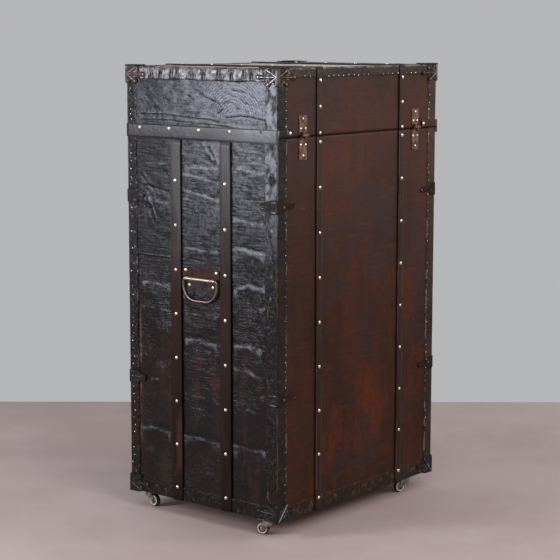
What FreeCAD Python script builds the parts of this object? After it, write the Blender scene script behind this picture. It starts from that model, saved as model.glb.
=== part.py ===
"""Wardrobe trunk on casters: a leather covered case with a hinged lid.

Millimetres.  X is the width, Y the depth with the hinges at +Y, Z is up.
Heights in the code are measured from the underside of the case; save() lifts
everything on to the casters, so in the finished part z = 0 is the floor.
Right is +X and left is -X.  Each sub-part goes to parts/NODE.step.
"""
import FreeCAD
import Part
import math
import os

V = FreeCAD.Vector

# ---------------------------------------------------------------- overall sizes
case_width = 648.0
case_depth = 490.0
case_height = 1090.0
lid_height = 162.0
lid_gap = 1.2

# ---------------------------------------------------------------- box walls
case_board = 10.0
lid_board = 9.0
bottom_board_thickness = 12.0
leather = 2.0
lining = 1.5
lip_thickness = 4.0
lip_rise = 10.0
lip_depth = 24.0

# ---------------------------------------------------------------- edge binding
binding = 1.5
binding_radius = 3.5
side_binding_front = 30.0
side_binding_rear = 38.0
back_binding_side = 33.5
side_binding_top = 32.0
back_binding_top = 22.0
top_binding = 24.0
bottom_binding = 36.0

# ---------------------------------------------------------------- bands, straps and slats
band_height = 33.5
band_overhang = 13.5
band_thickness = 4.5
band_clearance = 0.5
band_tab_right = 46.0
band_tab_left = 64.0
band_nail_height = 25.0
band_nail_pitch = 99.5
band_tab_nail_inset = 5.0
strap_width = 35.0
strap_thickness = 4.5
strap_end_gap = 2.0
strap_front_handle_gap = 3.5
strap_rear_handle_gap = 1.5
strap_first_nail = 34.5
strap_nail_pitch = 111.2
slat_inset = 154.5
slat_width = 23.0
slat_thickness = 5.0
slat_first_nail = 31.5
slat_nail_pitch = 110.3
lid_slat_first_nail = 7.5
lid_slat_nail_pitch = 63.0
top_slat_thickness = 4.0
top_slat_nail_pitch = 99.5

# ---------------------------------------------------------------- dome nails
nail_radius = 4.8
nail_rise = 2.8

# ---------------------------------------------------------------- corner caps and edge clamps
cap_thickness = 3.5
cap_reach = 71.0
cap_drop = 45.0
cap_shoulder = 0.62
cap_tip_radius = 9.0
cap_flat_bulge = 0.42
cap_underside = 20.0
clamp_above_foot = 300.6
clamp_below_joint = 162.3
clamp_height = 34.0
clamp_tip_height = 16.0
clamp_side_reach = 54.0
clamp_back_reach = 68.0
clamp_neck = 22.0
clamp_thickness = 1.5
clamp_nail_insets = (20.0, 61.0)
clamp_nail_radius = 3.2

# ---------------------------------------------------------------- lid hinges
hinge_tab_gap = 8.8
hinge_axis_rise = 4.3
hinge_radius = 7.5
hinge_wall_gap = 0.5
hinge_width = 36.0
hinge_centre_width = 13.0
hinge_end_gap = 0.3
hinge_pin_radius = 2.5
hinge_pin_clearance = 0.05
hinge_pin_head = 1.6
hinge_pin_head_radius = 4.0
leaf_thickness = 1.8
leaf_width = 21.0
leaf_shoulder = 14.0
leaf_up = 47.3
leaf_down = 59.0
leaf_edge_gap = 0.6
upper_leaf_nails = ((0.0, 39.4), (-8.4, 16.0), (8.4, 16.0))
lower_leaf_nails = ((0.0, -48.3), (-8.9, -22.2), (8.9, -22.2))

# ---------------------------------------------------------------- carrying handles
handle_y = 2.5
handle_axis_z = 572.6
handle_plate_thickness = 1.5
sleeve_plate_thickness = 3.0
handle_plate_width = 123.0
handle_plate_top = 27.5
handle_plate_bottom = 45.5
handle_plate_radius = 7.0
handle_lobe_radius = 14.0
handle_lobe_inset = 23.5
sleeve_radius = 4.6
sleeve_sunk = 1.0
bail_wire_radius = 2.5
bail_clearance = 0.05
bail_inset = 6.5
bail_drop = 54.0
bail_top_radius = 6.0
bail_bottom_radius = 38.0
handle_upper_nail_inset = 11.2
handle_upper_nail_rise = 20.2
handle_lower_nail_inset = 22.6
handle_lower_nail_drop = 16.3

# ---------------------------------------------------------------- casters
caster_trail = 15.0
# how far each swivel stands in from the side and from the back or front, and its rest angle
caster_places = {
    "back_right": (21.0, 45.0, -73.0),
    "front_right": (29.0, 39.0, 87.0),
    "back_left": (91.0, 22.0, -20.0),
    "front_left": (91.0, 30.0, 40.0),
}
wheel_radius = 15.5
tyre_width = 13.0
tyre_edge_radius = 2.5
hub_radius = 11.0
hub_width = 12.0
hub_boss_radius = 5.0
hub_boss_width = 14.0
hub_groove_depth = 1.6
hub_groove_inner = 6.0
hub_groove_outer = 9.0
axle_radius = 2.5
axle_clearance = 0.05
axle_head_radius = 4.0
axle_head = 1.6
fork_side_gap = 0.8
fork_wall = 1.6
fork_boss_radius = 5.0
fork_crown_half = 12.0
fork_crown_thickness = 2.0
race_radius = 12.5
race_height = 4.0
race_gap = 0.3
caster_plate_size = 38.0
caster_plate_thickness = 2.0
kingpin_radius = 3.5
kingpin_clearance = 0.05
kingpin_head_radius = 6.0
kingpin_head = 1.5
wheel_top_gap = 0.9

# ---------------------------------------------------------------- lock and catches on the front
hasp_axis_rise = 10.0
hasp_axis_out = 4.5
hasp_thickness = 2.5
hasp_seat_gap = 0.3
hasp_width = 34.0
hasp_length = 60.0
hasp_knuckle_radius = 3.8
hasp_centre_width = 14.0
hasp_pin_radius = 1.6
hasp_pin_clearance = 0.05
hasp_end_gap = 0.3
hasp_plate_thickness = 1.5
hasp_plate_height = 34.0
lock_block_height = 84.0
lock_block_margin = 1.0
closure_block_drop = 6.0
staple_distance = 50.0
staple_height = 9.0
staple_thickness = 3.0
staple_slot_clearance = 1.5
lock_case_width = 42.0
lock_case_height = 46.0
lock_case_depth = 9.0
lock_case_wall = 1.2
bolt_thickness = 3.0
bolt_head_height = 3.6
bolt_clearance = 0.3
bolt_front_gap = 0.6
bolt_travel = 11.0
bolt_button_drop = 25.0
bolt_button_width = 12.0
bolt_button_height = 7.0
bolt_button_rise = 3.5
bolt_button_stem = 4.0
catch_width = 26.0
catch_length = 52.0
catch_block_height = 46.0
stud_distance = 42.0
stud_radius = 3.0
stud_height = 4.2
stud_clearance = 1.3

# ---------------------------------------------------------------- rail and hangers
rail_lip_gap = 1.0
rail_radius = 11.0
rail_socket_wall = 6.0
rail_socket_depth = 14.0
hanger_pitch = 105.0
hanger_count = 3
hanger_end_gap = 26.5
hanger_thickness = 14.0
hanger_centre_height = 46.0
hanger_end_height = 22.0
hanger_fall = 62.0
hanger_bar_radius = 5.5
hanger_bar_drop = 40.0
hook_wire_radius = 1.8
hook_room = 2.2
hook_seat_gap = 0.3
hook_end_degrees = 210.0
hook_stem = 34.0
hook_depth_in_wood = 18.0

# ---------------------------------------------------------------- derived planes
half_width = case_width / 2
half_depth = case_depth / 2
joint_z = case_height - lid_height
lid_bottom_z = joint_z + lid_gap
board_x = half_width - leather
board_y = half_depth - leather
inner_x = board_x - case_board
inner_y = board_y - case_board
lid_inner_x = board_x - lid_board
lid_inner_y = board_y - lid_board
lid_ceiling_z = case_height - leather - lid_board
hinge_axis_y = half_depth + hinge_wall_gap + hinge_radius
lip_bottom_z = joint_z - lip_depth
rail_socket_radius = rail_radius + rail_socket_wall
rail_z = lip_bottom_z - rail_lip_gap - rail_socket_radius
hook_radius = rail_radius + hook_wire_radius + hook_room
band_low_z = joint_z - band_overhang
band_top_z = band_low_z + band_height
strap_top_z = band_low_z - strap_end_gap
slat_x = half_width - slat_inset
hinge_x = half_width - band_tab_left - hinge_tab_gap - hinge_pin_head - hinge_width / 2
handle_half = handle_plate_width / 2
strap_front_y = handle_y - handle_half - strap_front_handle_gap - strap_width / 2
strap_rear_y = handle_y + handle_half + strap_rear_handle_gap + strap_width / 2
bail_half_width = handle_half - bail_inset
sleeve_length = 2 * (bail_half_width - bail_top_radius)
caster_head_height = (caster_plate_thickness + race_height + race_gap + fork_crown_thickness
                      + race_gap + kingpin_head + wheel_top_gap)
caster_height = caster_head_height + 2 * wheel_radius
hinge_axis_z = joint_z + hinge_axis_rise
clamp_heights = (clamp_above_foot, joint_z - clamp_below_joint)


# ---------------------------------------------------------------- small helpers
def box(x0, x1, y0, y1, z0, z1):
    """A block between two corners."""
    return Part.makeBox(x1 - x0, y1 - y0, z1 - z0, V(x0, y0, z0))


def rod(radius, start, direction, length):
    """A round bar from a start point along a direction."""
    return Part.makeCylinder(radius, length, start, direction)


def plate(points, normal, thickness):
    """A flat plate: a closed outline of points, made thick along a normal."""
    outline = Part.makePolygon(list(points) + [points[0]])
    return Part.Face(outline).extrude(normal * thickness)


def outline_plate(edges, offset):
    """A flat plate from a ring of edges, made thick by an offset vector."""
    return Part.Face(Part.Wire(edges)).extrude(offset)


def arc(start, middle, end):
    """An arc edge through three points."""
    return Part.Arc(start, middle, end).toShape()


def line(start, end):
    """A straight edge."""
    return Part.LineSegment(start, end).toShape()


def joined(shapes):
    """Several touching shapes made into one solid."""
    return shapes[0].multiFuse(shapes[1:]).removeSplitter()


def clear_of(shape, others):
    """A shape with everything in others cut away from it."""
    return shape.cut(Part.makeCompound(others)) if others else shape


def steps(first, last, pitch):
    """Places from first to at most last, one pitch apart."""
    return [first + i * pitch for i in range(int((last - first) / pitch) + 1)]


def even_steps(reach, pitch):
    """Places one pitch apart, spread evenly either side of zero within a reach."""
    count = int(reach / pitch)
    return [i * pitch for i in range(-count, count + 1)]


def laid_in_turn(strips, blockers):
    """Strips that meet without sharing space: each is cut by those laid before it."""
    laid = []
    for strip in strips:
        laid.append(clear_of(strip, laid + blockers))
    return laid


def mirror_x(shape):
    """The same shape on the other side of the YZ plane."""
    return shape.mirror(V(0, 0, 0), V(1, 0, 0))


def mirror_y(shape):
    """The same shape on the other side of the XZ plane."""
    return shape.mirror(V(0, 0, 0), V(0, 1, 0))


def at_four_corners(shape):
    """A shape of the back right corner, repeated at all four corners."""
    right = [shape, mirror_y(shape)]
    return right + [mirror_x(each) for each in right]


def turned(shape, degrees, centre, axis):
    """A copy of a shape turned about an axis."""
    copy = shape.copy()
    copy.rotate(centre, axis, degrees)
    return copy


def save(node, shapes):
    """Write one sub-part, lifted on to the casters, with every solid kept apart."""
    solids = []
    for shape in shapes:
        solids += shape.Solids
    compound = Part.makeCompound(solids) if len(solids) > 1 else solids[0]
    compound.translate(V(0, 0, caster_height))
    compound.exportStep("parts/" + node + ".step")


# ---------------------------------------------------------------- boards, lip and lining
def case_side_board():
    return box(inner_x, board_x, -board_y, board_y, 0, joint_z)


def case_back_board():
    return box(-inner_x, inner_x, inner_y, board_y, 0, joint_z)


def case_bottom_board():
    return box(-inner_x, inner_x, -inner_y, inner_y, 0, bottom_board_thickness)


def top_lip():
    """Four slips inside the top of the case that stand up into the lid."""
    inside_x = inner_x - lip_thickness
    inside_y = inner_y - lip_thickness
    top_z = joint_z + lip_rise
    side = box(inside_x, inner_x, -inner_y, inner_y, lip_bottom_z, top_z)
    back = box(-inside_x, inside_x, inside_y, inner_y, lip_bottom_z, top_z)
    return [side, mirror_x(side), back, mirror_y(back)]


def case_lining():
    """Thin lining sheets on the inside faces of the case, below the lip."""
    low = bottom_board_thickness
    side = box(inner_x - lining, inner_x, -inner_y, inner_y, low, lip_bottom_z)
    side = side.cut(socket_body())
    span_x = inner_x - lining
    span_y = inner_y - lining
    back = box(-span_x, span_x, span_y, inner_y, low, lip_bottom_z)
    floor = box(-span_x, span_x, -span_y, span_y, low, low + lining)
    return [floor, side, mirror_x(side), back, mirror_y(back)]


def lid_boards():
    """The lid's top board and its four walls."""
    top = box(-board_x, board_x, -board_y, board_y, lid_ceiling_z, lid_ceiling_z + lid_board)
    side = box(lid_inner_x, board_x, -board_y, board_y, lid_bottom_z, lid_ceiling_z)
    back = box(-lid_inner_x, lid_inner_x, lid_inner_y, board_y, lid_bottom_z, lid_ceiling_z)
    return [top, side, mirror_x(side), back, mirror_y(back)]


def lid_lining():
    """Thin lining inside the lid, starting above the lip of the case."""
    low = joint_z + lip_rise + lid_gap
    high = lid_ceiling_z - lining
    ceiling = box(-lid_inner_x, lid_inner_x, -lid_inner_y, lid_inner_y, high, lid_ceiling_z)
    side = box(lid_inner_x - lining, lid_inner_x, -lid_inner_y, lid_inner_y, low, high)
    span = lid_inner_x - lining
    back = box(-span, span, lid_inner_y - lining, lid_inner_y, low, high)
    return [ceiling, side, mirror_x(side), back, mirror_y(back)]


# ---------------------------------------------------------------- leather covers
def side_leather(z0, z1):
    sheet = box(board_x, half_width, -board_y, board_y, z0, z1)
    return [sheet, mirror_x(sheet)]


def back_leather(z0, z1):
    return box(-half_width, half_width, board_y, half_depth, z0, z1)


def lid_top_leather():
    return box(-half_width, half_width, -half_depth, half_depth, case_height - leather, case_height)


# ---------------------------------------------------------------- edge binding
def corner_angle(leg_x, leg_y, z0, z1):
    """An upright strip folded round the back right edge, rounded outside."""
    t = binding
    r = binding_radius
    bend = r * (1 - math.sqrt(0.5))
    x0 = half_width
    y0 = half_depth
    a = V(x0 + t, y0 - leg_y, z0)
    b = V(x0 + t, y0 + t - r, z0)
    mid = V(x0 + t - bend, y0 + t - bend, z0)
    c = V(x0 + t - r, y0 + t, z0)
    d = V(x0 - leg_x, y0 + t, z0)
    e = V(x0 - leg_x, y0, z0)
    f = V(x0, y0, z0)
    g = V(x0, y0 - leg_y, z0)
    edges = [line(a, b), arc(b, mid, c), line(c, d), line(d, e), line(e, f), line(f, g), line(g, a)]
    return outline_plate(edges, V(0, 0, z1 - z0))


def top_angle_profile(reach, half, drop, across):
    """Edges of a strip folded over a top edge; across maps (out, up) to a point."""
    t = binding
    r = binding_radius
    bend = r * (1 - math.sqrt(0.5))
    top = case_height
    a = across(half + t, top - drop)
    b = across(half + t, top + t - r)
    mid = across(half + t - bend, top + t - bend)
    c = across(half + t - r, top + t)
    d = across(half - reach, top + t)
    e = across(half - reach, top)
    f = across(half, top)
    g = across(half, top - drop)
    return [line(a, b), arc(b, mid, c), line(c, d), line(d, e), line(e, f), line(f, g), line(g, a)]


def top_angle_side(drop):
    """The strip over the right-hand top edge of the lid, full depth."""
    edges = top_angle_profile(top_binding, half_width, drop, lambda out, up: V(out, -half_depth, up))
    return outline_plate(edges, V(0, case_depth, 0))


def top_angle_back(drop):
    """The strip over the back top edge of the lid, full width."""
    edges = top_angle_profile(top_binding, half_depth, drop, lambda out, up: V(-half_width, out, up))
    return outline_plate(edges, V(case_width, 0, 0))


def upright_bindings(z0, z1):
    """The four upright edge strips between two heights."""
    rear = corner_angle(back_binding_side, side_binding_rear, z0, z1)
    front = mirror_y(corner_angle(back_binding_side, side_binding_front, z0, z1))
    return [rear, mirror_x(rear), front, mirror_x(front)]


def bottom_bindings():
    """Flat strips along the foot of each face of the case."""
    side = box(half_width, half_width + binding, -half_depth, half_depth, 0, bottom_binding)
    back = box(-half_width, half_width, half_depth, half_depth + binding, 0, bottom_binding)
    return [side, mirror_x(side), back, mirror_y(back)]


def case_edge_binding():
    strips = upright_bindings(0, joint_z) + bottom_bindings()
    return laid_in_turn(strips, side_straps() + case_slats())


def lid_edge_binding():
    side = top_angle_side(side_binding_top)
    back = top_angle_back(back_binding_top)
    strips = [side, mirror_x(side), back, mirror_y(back)]
    strips += upright_bindings(lid_bottom_z, case_height)
    return laid_in_turn(strips, lid_side_bands() + lid_slats())


# ---------------------------------------------------------------- bands, straps and slats
def lid_side_bands():
    """A band round each side of the lid that hangs a little below the joint."""
    outer = half_width + band_thickness
    relief = half_width + binding + band_clearance
    bands = []
    for tab, flip in ((band_tab_right, False), (band_tab_left, True)):
        upper = box(half_width, outer, -half_depth, half_depth, lid_bottom_z, band_top_z)
        lower = box(relief, outer, -half_depth, half_depth, band_low_z, lid_bottom_z)
        behind = half_depth + band_thickness
        wrap = box(half_width - tab, outer, half_depth, behind, lid_bottom_z, band_top_z)
        band = joined([upper, lower, wrap])
        bands.append(mirror_x(band) if flip else band)
    return bands


def side_straps():
    """Two upright straps on each side of the case, ending under the band."""
    straps = []
    for y in (strap_front_y, strap_rear_y):
        edge = y - strap_width / 2
        strap = box(half_width, half_width + strap_thickness, edge, edge + strap_width, 0, strap_top_z)
        straps += [strap, mirror_x(strap)]
    return straps


def upright_slats(z0, z1):
    """Slats on the back and the front between two heights."""
    edge = slat_x - slat_width / 2
    slat = box(edge, edge + slat_width, half_depth, half_depth + slat_thickness, z0, z1)
    return at_four_corners(slat)


def case_slats():
    return upright_slats(0, joint_z)


def lid_slats():
    """The lid's upright slats and the two that run across its top."""
    edge = slat_x - slat_width / 2
    high = case_height + top_slat_thickness
    top = box(edge, edge + slat_width, -half_depth, half_depth, case_height, high)
    return upright_slats(lid_bottom_z, case_height) + [top, mirror_x(top)]


# ---------------------------------------------------------------- dome nails
def dome(foot, normal, radius=nail_radius):
    """A domed nail head standing on a surface, its shank hidden in the board."""
    ball_radius = (radius ** 2 + nail_rise ** 2) / (2 * nail_rise)
    centre = foot - normal * (ball_radius - nail_rise)
    ball = Part.makeSphere(ball_radius, centre)
    keep = Part.makeCylinder(ball_radius, nail_rise + 1, foot, normal)
    return ball.common(keep)


def back_and_front(x, z, level, radius=nail_radius):
    """Two nails at one place, one on the back and one on the front."""
    nail = dome(V(x, half_depth + level, z), V(0, 1, 0), radius)
    return [nail, mirror_y(nail)]


def both_sides(y, z, level, radius=nail_radius):
    """Two nails at one place, one on the right side and one on the left."""
    nail = dome(V(half_width + level, y, z), V(1, 0, 0), radius)
    return [nail, mirror_x(nail)]


def strap_dome_nails():
    nails = []
    for y in (strap_front_y, strap_rear_y):
        for z in steps(strap_first_nail, strap_top_z - nail_radius, strap_nail_pitch):
            nails += both_sides(y, z, strap_thickness)
    return nails


def slat_dome_nails(first, last, pitch):
    nails = []
    for x in (-slat_x, slat_x):
        for z in steps(first, last - nail_radius, pitch):
            nails += back_and_front(x, z, slat_thickness)
    return nails


def clamp_dome_nails():
    """The nails that hold the wings of the edge clamps on the back and the front."""
    level = binding + clamp_thickness
    nails = []
    for z in clamp_heights:
        for inset in clamp_nail_insets:
            for x in (inset - half_width, half_width - inset):
                nails += back_and_front(x, z, level, clamp_nail_radius)
    return nails


def handle_dome_nails():
    upper = handle_half - handle_upper_nail_inset
    lower = handle_half - handle_lower_nail_inset
    upper_z = handle_axis_z + handle_upper_nail_rise
    lower_z = handle_axis_z - handle_lower_nail_drop
    nails = []
    for side in (-1, 1):
        nails += both_sides(handle_y + side * upper, upper_z, sleeve_plate_thickness)
        nails += both_sides(handle_y + side * lower, lower_z, handle_plate_thickness)
    return nails


def leaf_dome_nails(places):
    """The nails of one hinge leaf, on both hinges."""
    nails = []
    for offset, rise in places:
        foot = V(hinge_x + offset, half_depth + leaf_thickness, hinge_axis_z + rise)
        nail = dome(foot, V(0, 1, 0), clamp_nail_radius)
        nails += [nail, mirror_x(nail)]
    return nails


def case_dome_nails():
    nails = strap_dome_nails()
    nails += slat_dome_nails(slat_first_nail, joint_z, slat_nail_pitch)
    nails += clamp_dome_nails() + handle_dome_nails() + leaf_dome_nails(lower_leaf_nails)
    return nails


def band_dome_nails():
    """The band's nails; the rear one on the right side is missing."""
    z = band_low_z + band_nail_height
    places = even_steps(half_depth - nail_radius, band_nail_pitch)
    nails = []
    for y in places[:-1]:
        nails += both_sides(y, z, band_thickness)
    nails += both_sides(places[-1], z, band_thickness)[1:]
    right_x = half_width - band_tab_right + band_tab_nail_inset
    left_x = band_tab_left - half_width - band_tab_nail_inset
    for x in (right_x, left_x):
        nails.append(dome(V(x, half_depth + band_thickness, z), V(0, 1, 0)))
    return nails


def top_slat_dome_nails():
    nails = []
    for x in (-slat_x, slat_x):
        for y in even_steps(half_depth - nail_radius, top_slat_nail_pitch):
            nails.append(dome(V(x, y, case_height + top_slat_thickness), V(0, 0, 1)))
    return nails


def lid_dome_nails():
    nails = band_dome_nails() + top_slat_dome_nails() + leaf_dome_nails(upper_leaf_nails)
    return nails + slat_dome_nails(joint_z + lid_slat_first_nail, case_height, lid_slat_nail_pitch)


# ---------------------------------------------------------------- corner caps
def cap_wing(reach, drop, place, offset):
    """One face of a corner cap: a wing that runs to a rounded tip along the edge."""
    r = cap_tip_radius
    shoulder = reach * cap_shoulder
    tip_down = drop * cap_shoulder
    edges = [
        line(place(0, 0), place(shoulder, 0)),
        line(place(shoulder, 0), place(reach - r, tip_down - r)),
        arc(place(reach - r, tip_down - r), place(reach, tip_down), place(reach - r, tip_down + r)),
        line(place(reach - r, tip_down + r), place(shoulder / 2, drop)),
        line(place(shoulder / 2, drop), place(0, drop)),
        line(place(0, drop), place(0, 0)),
    ]
    return outline_plate(edges, offset)


def cap_flat(reach_x, reach_y, z0, z1):
    """The horizontal face of a corner cap, rounded on its inner side."""
    x1 = half_width + binding + cap_thickness
    y1 = half_depth + binding + cap_thickness
    corner = V(x1, y1, z0)
    along_x = V(x1 - reach_x, y1, z0)
    along_y = V(x1, y1 - reach_y, z0)
    middle = V(x1 - reach_x * (1 - cap_flat_bulge), y1 - reach_y * (1 - cap_flat_bulge), z0)
    edges = [line(corner, along_x), arc(along_x, middle, along_y), line(along_y, corner)]
    return outline_plate(edges, V(0, 0, z1 - z0))


def corner_cap(edge_z, inward, flat_reach):
    """A pressed cap on the back right corner; inward is +1 at the foot and -1 on top."""
    skin = binding + cap_thickness
    x1 = half_width + skin
    y1 = half_depth + skin
    z1 = edge_z - inward * (skin if inward < 0 else cap_thickness)
    side = cap_wing(cap_reach, cap_drop,
                    lambda along, down: V(x1, y1 - along, z1 + inward * down), V(-cap_thickness, 0, 0))
    back = cap_wing(cap_reach, cap_drop,
                    lambda along, down: V(x1 - along, y1, z1 + inward * down), V(0, -cap_thickness, 0))
    flat = cap_flat(flat_reach, flat_reach, z1, z1 + inward * cap_thickness)
    return joined([side, back, flat])


def top_corner_caps():
    blockers = lid_slats()
    return [clear_of(cap, blockers) for cap in at_four_corners(corner_cap(case_height, -1, cap_reach))]


def bottom_corner_caps():
    return at_four_corners(corner_cap(0, 1, cap_underside))


# ---------------------------------------------------------------- edge clamps
def clamp_wing(reach, place, offset):
    """One wing of an edge clamp: broad at the edge, a round tip at the end."""
    half = clamp_height / 2
    tip = clamp_tip_height / 2
    edges = [
        line(place(0, half), place(clamp_neck, half)),
        line(place(clamp_neck, half), place(reach - tip, tip)),
        arc(place(reach - tip, tip), place(reach, 0), place(reach - tip, -tip)),
        line(place(reach - tip, -tip), place(clamp_neck, -half)),
        line(place(clamp_neck, -half), place(0, -half)),
        line(place(0, -half), place(0, half)),
    ]
    return outline_plate(edges, offset)


def edge_clamps():
    """Sheet clamps folded round the upright edges over the binding."""
    skin = binding + clamp_thickness
    x1 = half_width + skin
    y1 = half_depth + skin
    clamps = []
    for z in clamp_heights:
        side = clamp_wing(clamp_side_reach + skin,
                          lambda along, up: V(x1, y1 - along, z + up), V(-clamp_thickness, 0, 0))
        back = clamp_wing(clamp_back_reach + skin,
                          lambda along, up: V(x1 - along, y1, z + up), V(0, -clamp_thickness, 0))
        clamps += at_four_corners(joined([side, back]))
    return clamps


# ---------------------------------------------------------------- lid hinges
def knuckle(x0, x1):
    """A hollow hinge knuckle between two places along the pin."""
    bore = hinge_pin_radius + hinge_pin_clearance
    start = V(x0, hinge_axis_y, hinge_axis_z)
    outside = rod(hinge_radius, start, V(1, 0, 0), x1 - x0)
    return outside.cut(rod(bore, start, V(1, 0, 0), x1 - x0))


def neck(x0, x1, z0, z1):
    """The flat stem that joins a knuckle to its leaf."""
    return box(x0, x1, half_depth, half_depth + leaf_thickness, z0, z1)


def leaf_outline(sign, length):
    """A leaf that is as wide as the knuckle at its root and narrows to a strap."""
    root = hinge_axis_z + sign * (hinge_radius + leaf_edge_gap)
    bend = root + sign * leaf_shoulder
    end = hinge_axis_z + sign * length
    half = leaf_width / 2
    wide = hinge_width / 2
    y = half_depth
    tip = end - sign * half
    edges = [
        line(V(hinge_x - wide, y, root), V(hinge_x + wide, y, root)),
        line(V(hinge_x + wide, y, root), V(hinge_x + half, y, bend)),
        line(V(hinge_x + half, y, bend), V(hinge_x + half, y, tip)),
        arc(V(hinge_x + half, y, tip), V(hinge_x, y, end), V(hinge_x - half, y, tip)),
        line(V(hinge_x - half, y, tip), V(hinge_x - half, y, bend)),
        line(V(hinge_x - half, y, bend), V(hinge_x - wide, y, root)),
    ]
    return outline_plate(edges, V(0, leaf_thickness, 0))


def hinge_upper_leaf():
    """The lid's leaf with the middle knuckle."""
    half = hinge_centre_width / 2
    root = hinge_axis_z + hinge_radius + leaf_edge_gap
    stem = neck(hinge_x - half, hinge_x + half, hinge_axis_z, root)
    return joined([leaf_outline(1, leaf_up), stem, knuckle(hinge_x - half, hinge_x + half)])


def hinge_lower_leaf():
    """The case's leaf with the two outer knuckles."""
    inner = hinge_centre_width / 2 + hinge_end_gap
    outer = hinge_width / 2
    root = hinge_axis_z - hinge_radius - leaf_edge_gap
    pieces = [leaf_outline(-1, leaf_down)]
    for x0, x1 in ((hinge_x - outer, hinge_x - inner), (hinge_x + inner, hinge_x + outer)):
        pieces.append(neck(x0, x1, root, hinge_axis_z))
        pieces.append(knuckle(x0, x1))
    return joined(pieces)


def hinge_pin():
    """The headed pin through one hinge."""
    half = hinge_width / 2
    start = V(hinge_x - half, hinge_axis_y, hinge_axis_z)
    shaft = rod(hinge_pin_radius, start, V(1, 0, 0), hinge_width)
    near = rod(hinge_pin_head_radius, start, V(-1, 0, 0), hinge_pin_head)
    far = rod(hinge_pin_head_radius, start + V(hinge_width, 0, 0), V(1, 0, 0), hinge_pin_head)
    return joined([shaft, near, far])


# ---------------------------------------------------------------- carrying handles
sleeve_x = half_width + sleeve_plate_thickness + sleeve_radius - sleeve_sunk


def handle_back_plate():
    """The plate behind a handle, with three round lobes along its lower edge."""
    x = half_width
    low = handle_axis_z - handle_plate_bottom + handle_lobe_radius
    y0 = handle_y - handle_half
    y1 = handle_y + handle_half
    lobes = [box(x, x + handle_plate_thickness, y0, y1, low, handle_axis_z)]
    spread = handle_half - handle_lobe_inset
    for offset in (-spread, 0, spread):
        centre = V(x, handle_y + offset, low)
        lobes.append(rod(handle_lobe_radius, centre, V(1, 0, 0), handle_plate_thickness))
    return joined(lobes)


def handle_sleeve():
    """The upper plate, rolled at its foot into the sleeve that holds the bail."""
    r = handle_plate_radius
    y0 = handle_y - handle_half
    y1 = handle_y + handle_half
    low = handle_axis_z
    top = handle_axis_z + handle_plate_top
    bend = r * (1 - math.sqrt(0.5))
    x = half_width
    edges = [
        line(V(x, y0, low), V(x, y1, low)),
        line(V(x, y1, low), V(x, y1, top - r)),
        arc(V(x, y1, top - r), V(x, y1 - bend, top - bend), V(x, y1 - r, top)),
        line(V(x, y1 - r, top), V(x, y0 + r, top)),
        arc(V(x, y0 + r, top), V(x, y0 + bend, top - bend), V(x, y0, top - r)),
        line(V(x, y0, top - r), V(x, y0, low)),
    ]
    face = outline_plate(edges, V(sleeve_plate_thickness, 0, 0))
    start = V(sleeve_x, handle_y - sleeve_length / 2, handle_axis_z)
    tube = rod(sleeve_radius, start, V(0, 1, 0), sleeve_length)
    bore = rod(bail_wire_radius + bail_clearance, start, V(0, 1, 0), sleeve_length)
    return joined([face, tube]).cut(bore)


def bail():
    """A round wire loop: a straight bar in the sleeve and a D that hangs from it."""
    y = bail_half_width
    top_r = bail_top_radius
    low_r = bail_bottom_radius
    diag = math.sqrt(0.5)
    x = sleeve_x
    z = handle_axis_z

    def at(dy, dz):
        return V(x, handle_y + dy, z + dz)

    def bend(cy, cz, r, sy, sz):
        return at(cy + sy * r * diag, cz + sz * r * diag)

    low = -bail_drop
    edges = [line(at(0, 0), at(y - top_r, 0))]
    edges.append(arc(at(y - top_r, 0), bend(y - top_r, -top_r, top_r, 1, 1), at(y, -top_r)))
    edges.append(line(at(y, -top_r), at(y, low + low_r)))
    edges.append(arc(at(y, low + low_r), bend(y - low_r, low + low_r, low_r, 1, -1), at(y - low_r, low)))
    edges.append(line(at(y - low_r, low), at(low_r - y, low)))
    edges.append(arc(at(low_r - y, low), bend(low_r - y, low + low_r, low_r, -1, -1), at(-y, low + low_r)))
    edges.append(line(at(-y, low + low_r), at(-y, -top_r)))
    edges.append(arc(at(-y, -top_r), bend(top_r - y, -top_r, top_r, -1, 1), at(top_r - y, 0)))
    edges.append(line(at(top_r - y, 0), at(0, 0)))
    path = Part.Wire(edges)
    circle = Part.makeCircle(bail_wire_radius, at(0, 0), V(0, 1, 0))
    return path.makePipeShell([Part.Wire([circle])], True, False)


# ---------------------------------------------------------------- casters
caster_floor = -caster_height
axle_z = caster_floor + wheel_radius
plate_low = -caster_plate_thickness
race_low = plate_low - race_height
crown_top = race_low - race_gap
crown_low = crown_top - fork_crown_thickness
fork_inside = hub_boss_width / 2 + fork_side_gap


def caster_plate():
    """The screwed plate with the upper race and the kingpin, at the origin."""
    half = caster_plate_size / 2
    flange = box(-half, half, -half, half, plate_low, 0)
    race = rod(race_radius, V(0, 0, race_low), V(0, 0, 1), race_height)
    head_low = crown_low - race_gap - kingpin_head
    pin = rod(kingpin_radius, V(0, 0, head_low), V(0, 0, 1), -head_low)
    head = rod(kingpin_head_radius, V(0, 0, head_low), V(0, 0, 1), kingpin_head)
    return joined([flange, race, pin, head])


def fork_leg(y0):
    """One leg of the fork: a tapering cheek from the crown to the axle boss."""
    t = fork_wall
    half = fork_crown_half
    r = fork_boss_radius
    cheek = plate([
        V(-half, y0, crown_top),
        V(half, y0, crown_top),
        V(caster_trail + r, y0, axle_z),
        V(caster_trail - r, y0, axle_z),
        V(-half, y0, crown_low - fork_boss_radius),
    ], V(0, 1, 0), t)
    boss = rod(r, V(caster_trail, y0, axle_z), V(0, 1, 0), t)
    return joined([cheek, boss])


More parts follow.
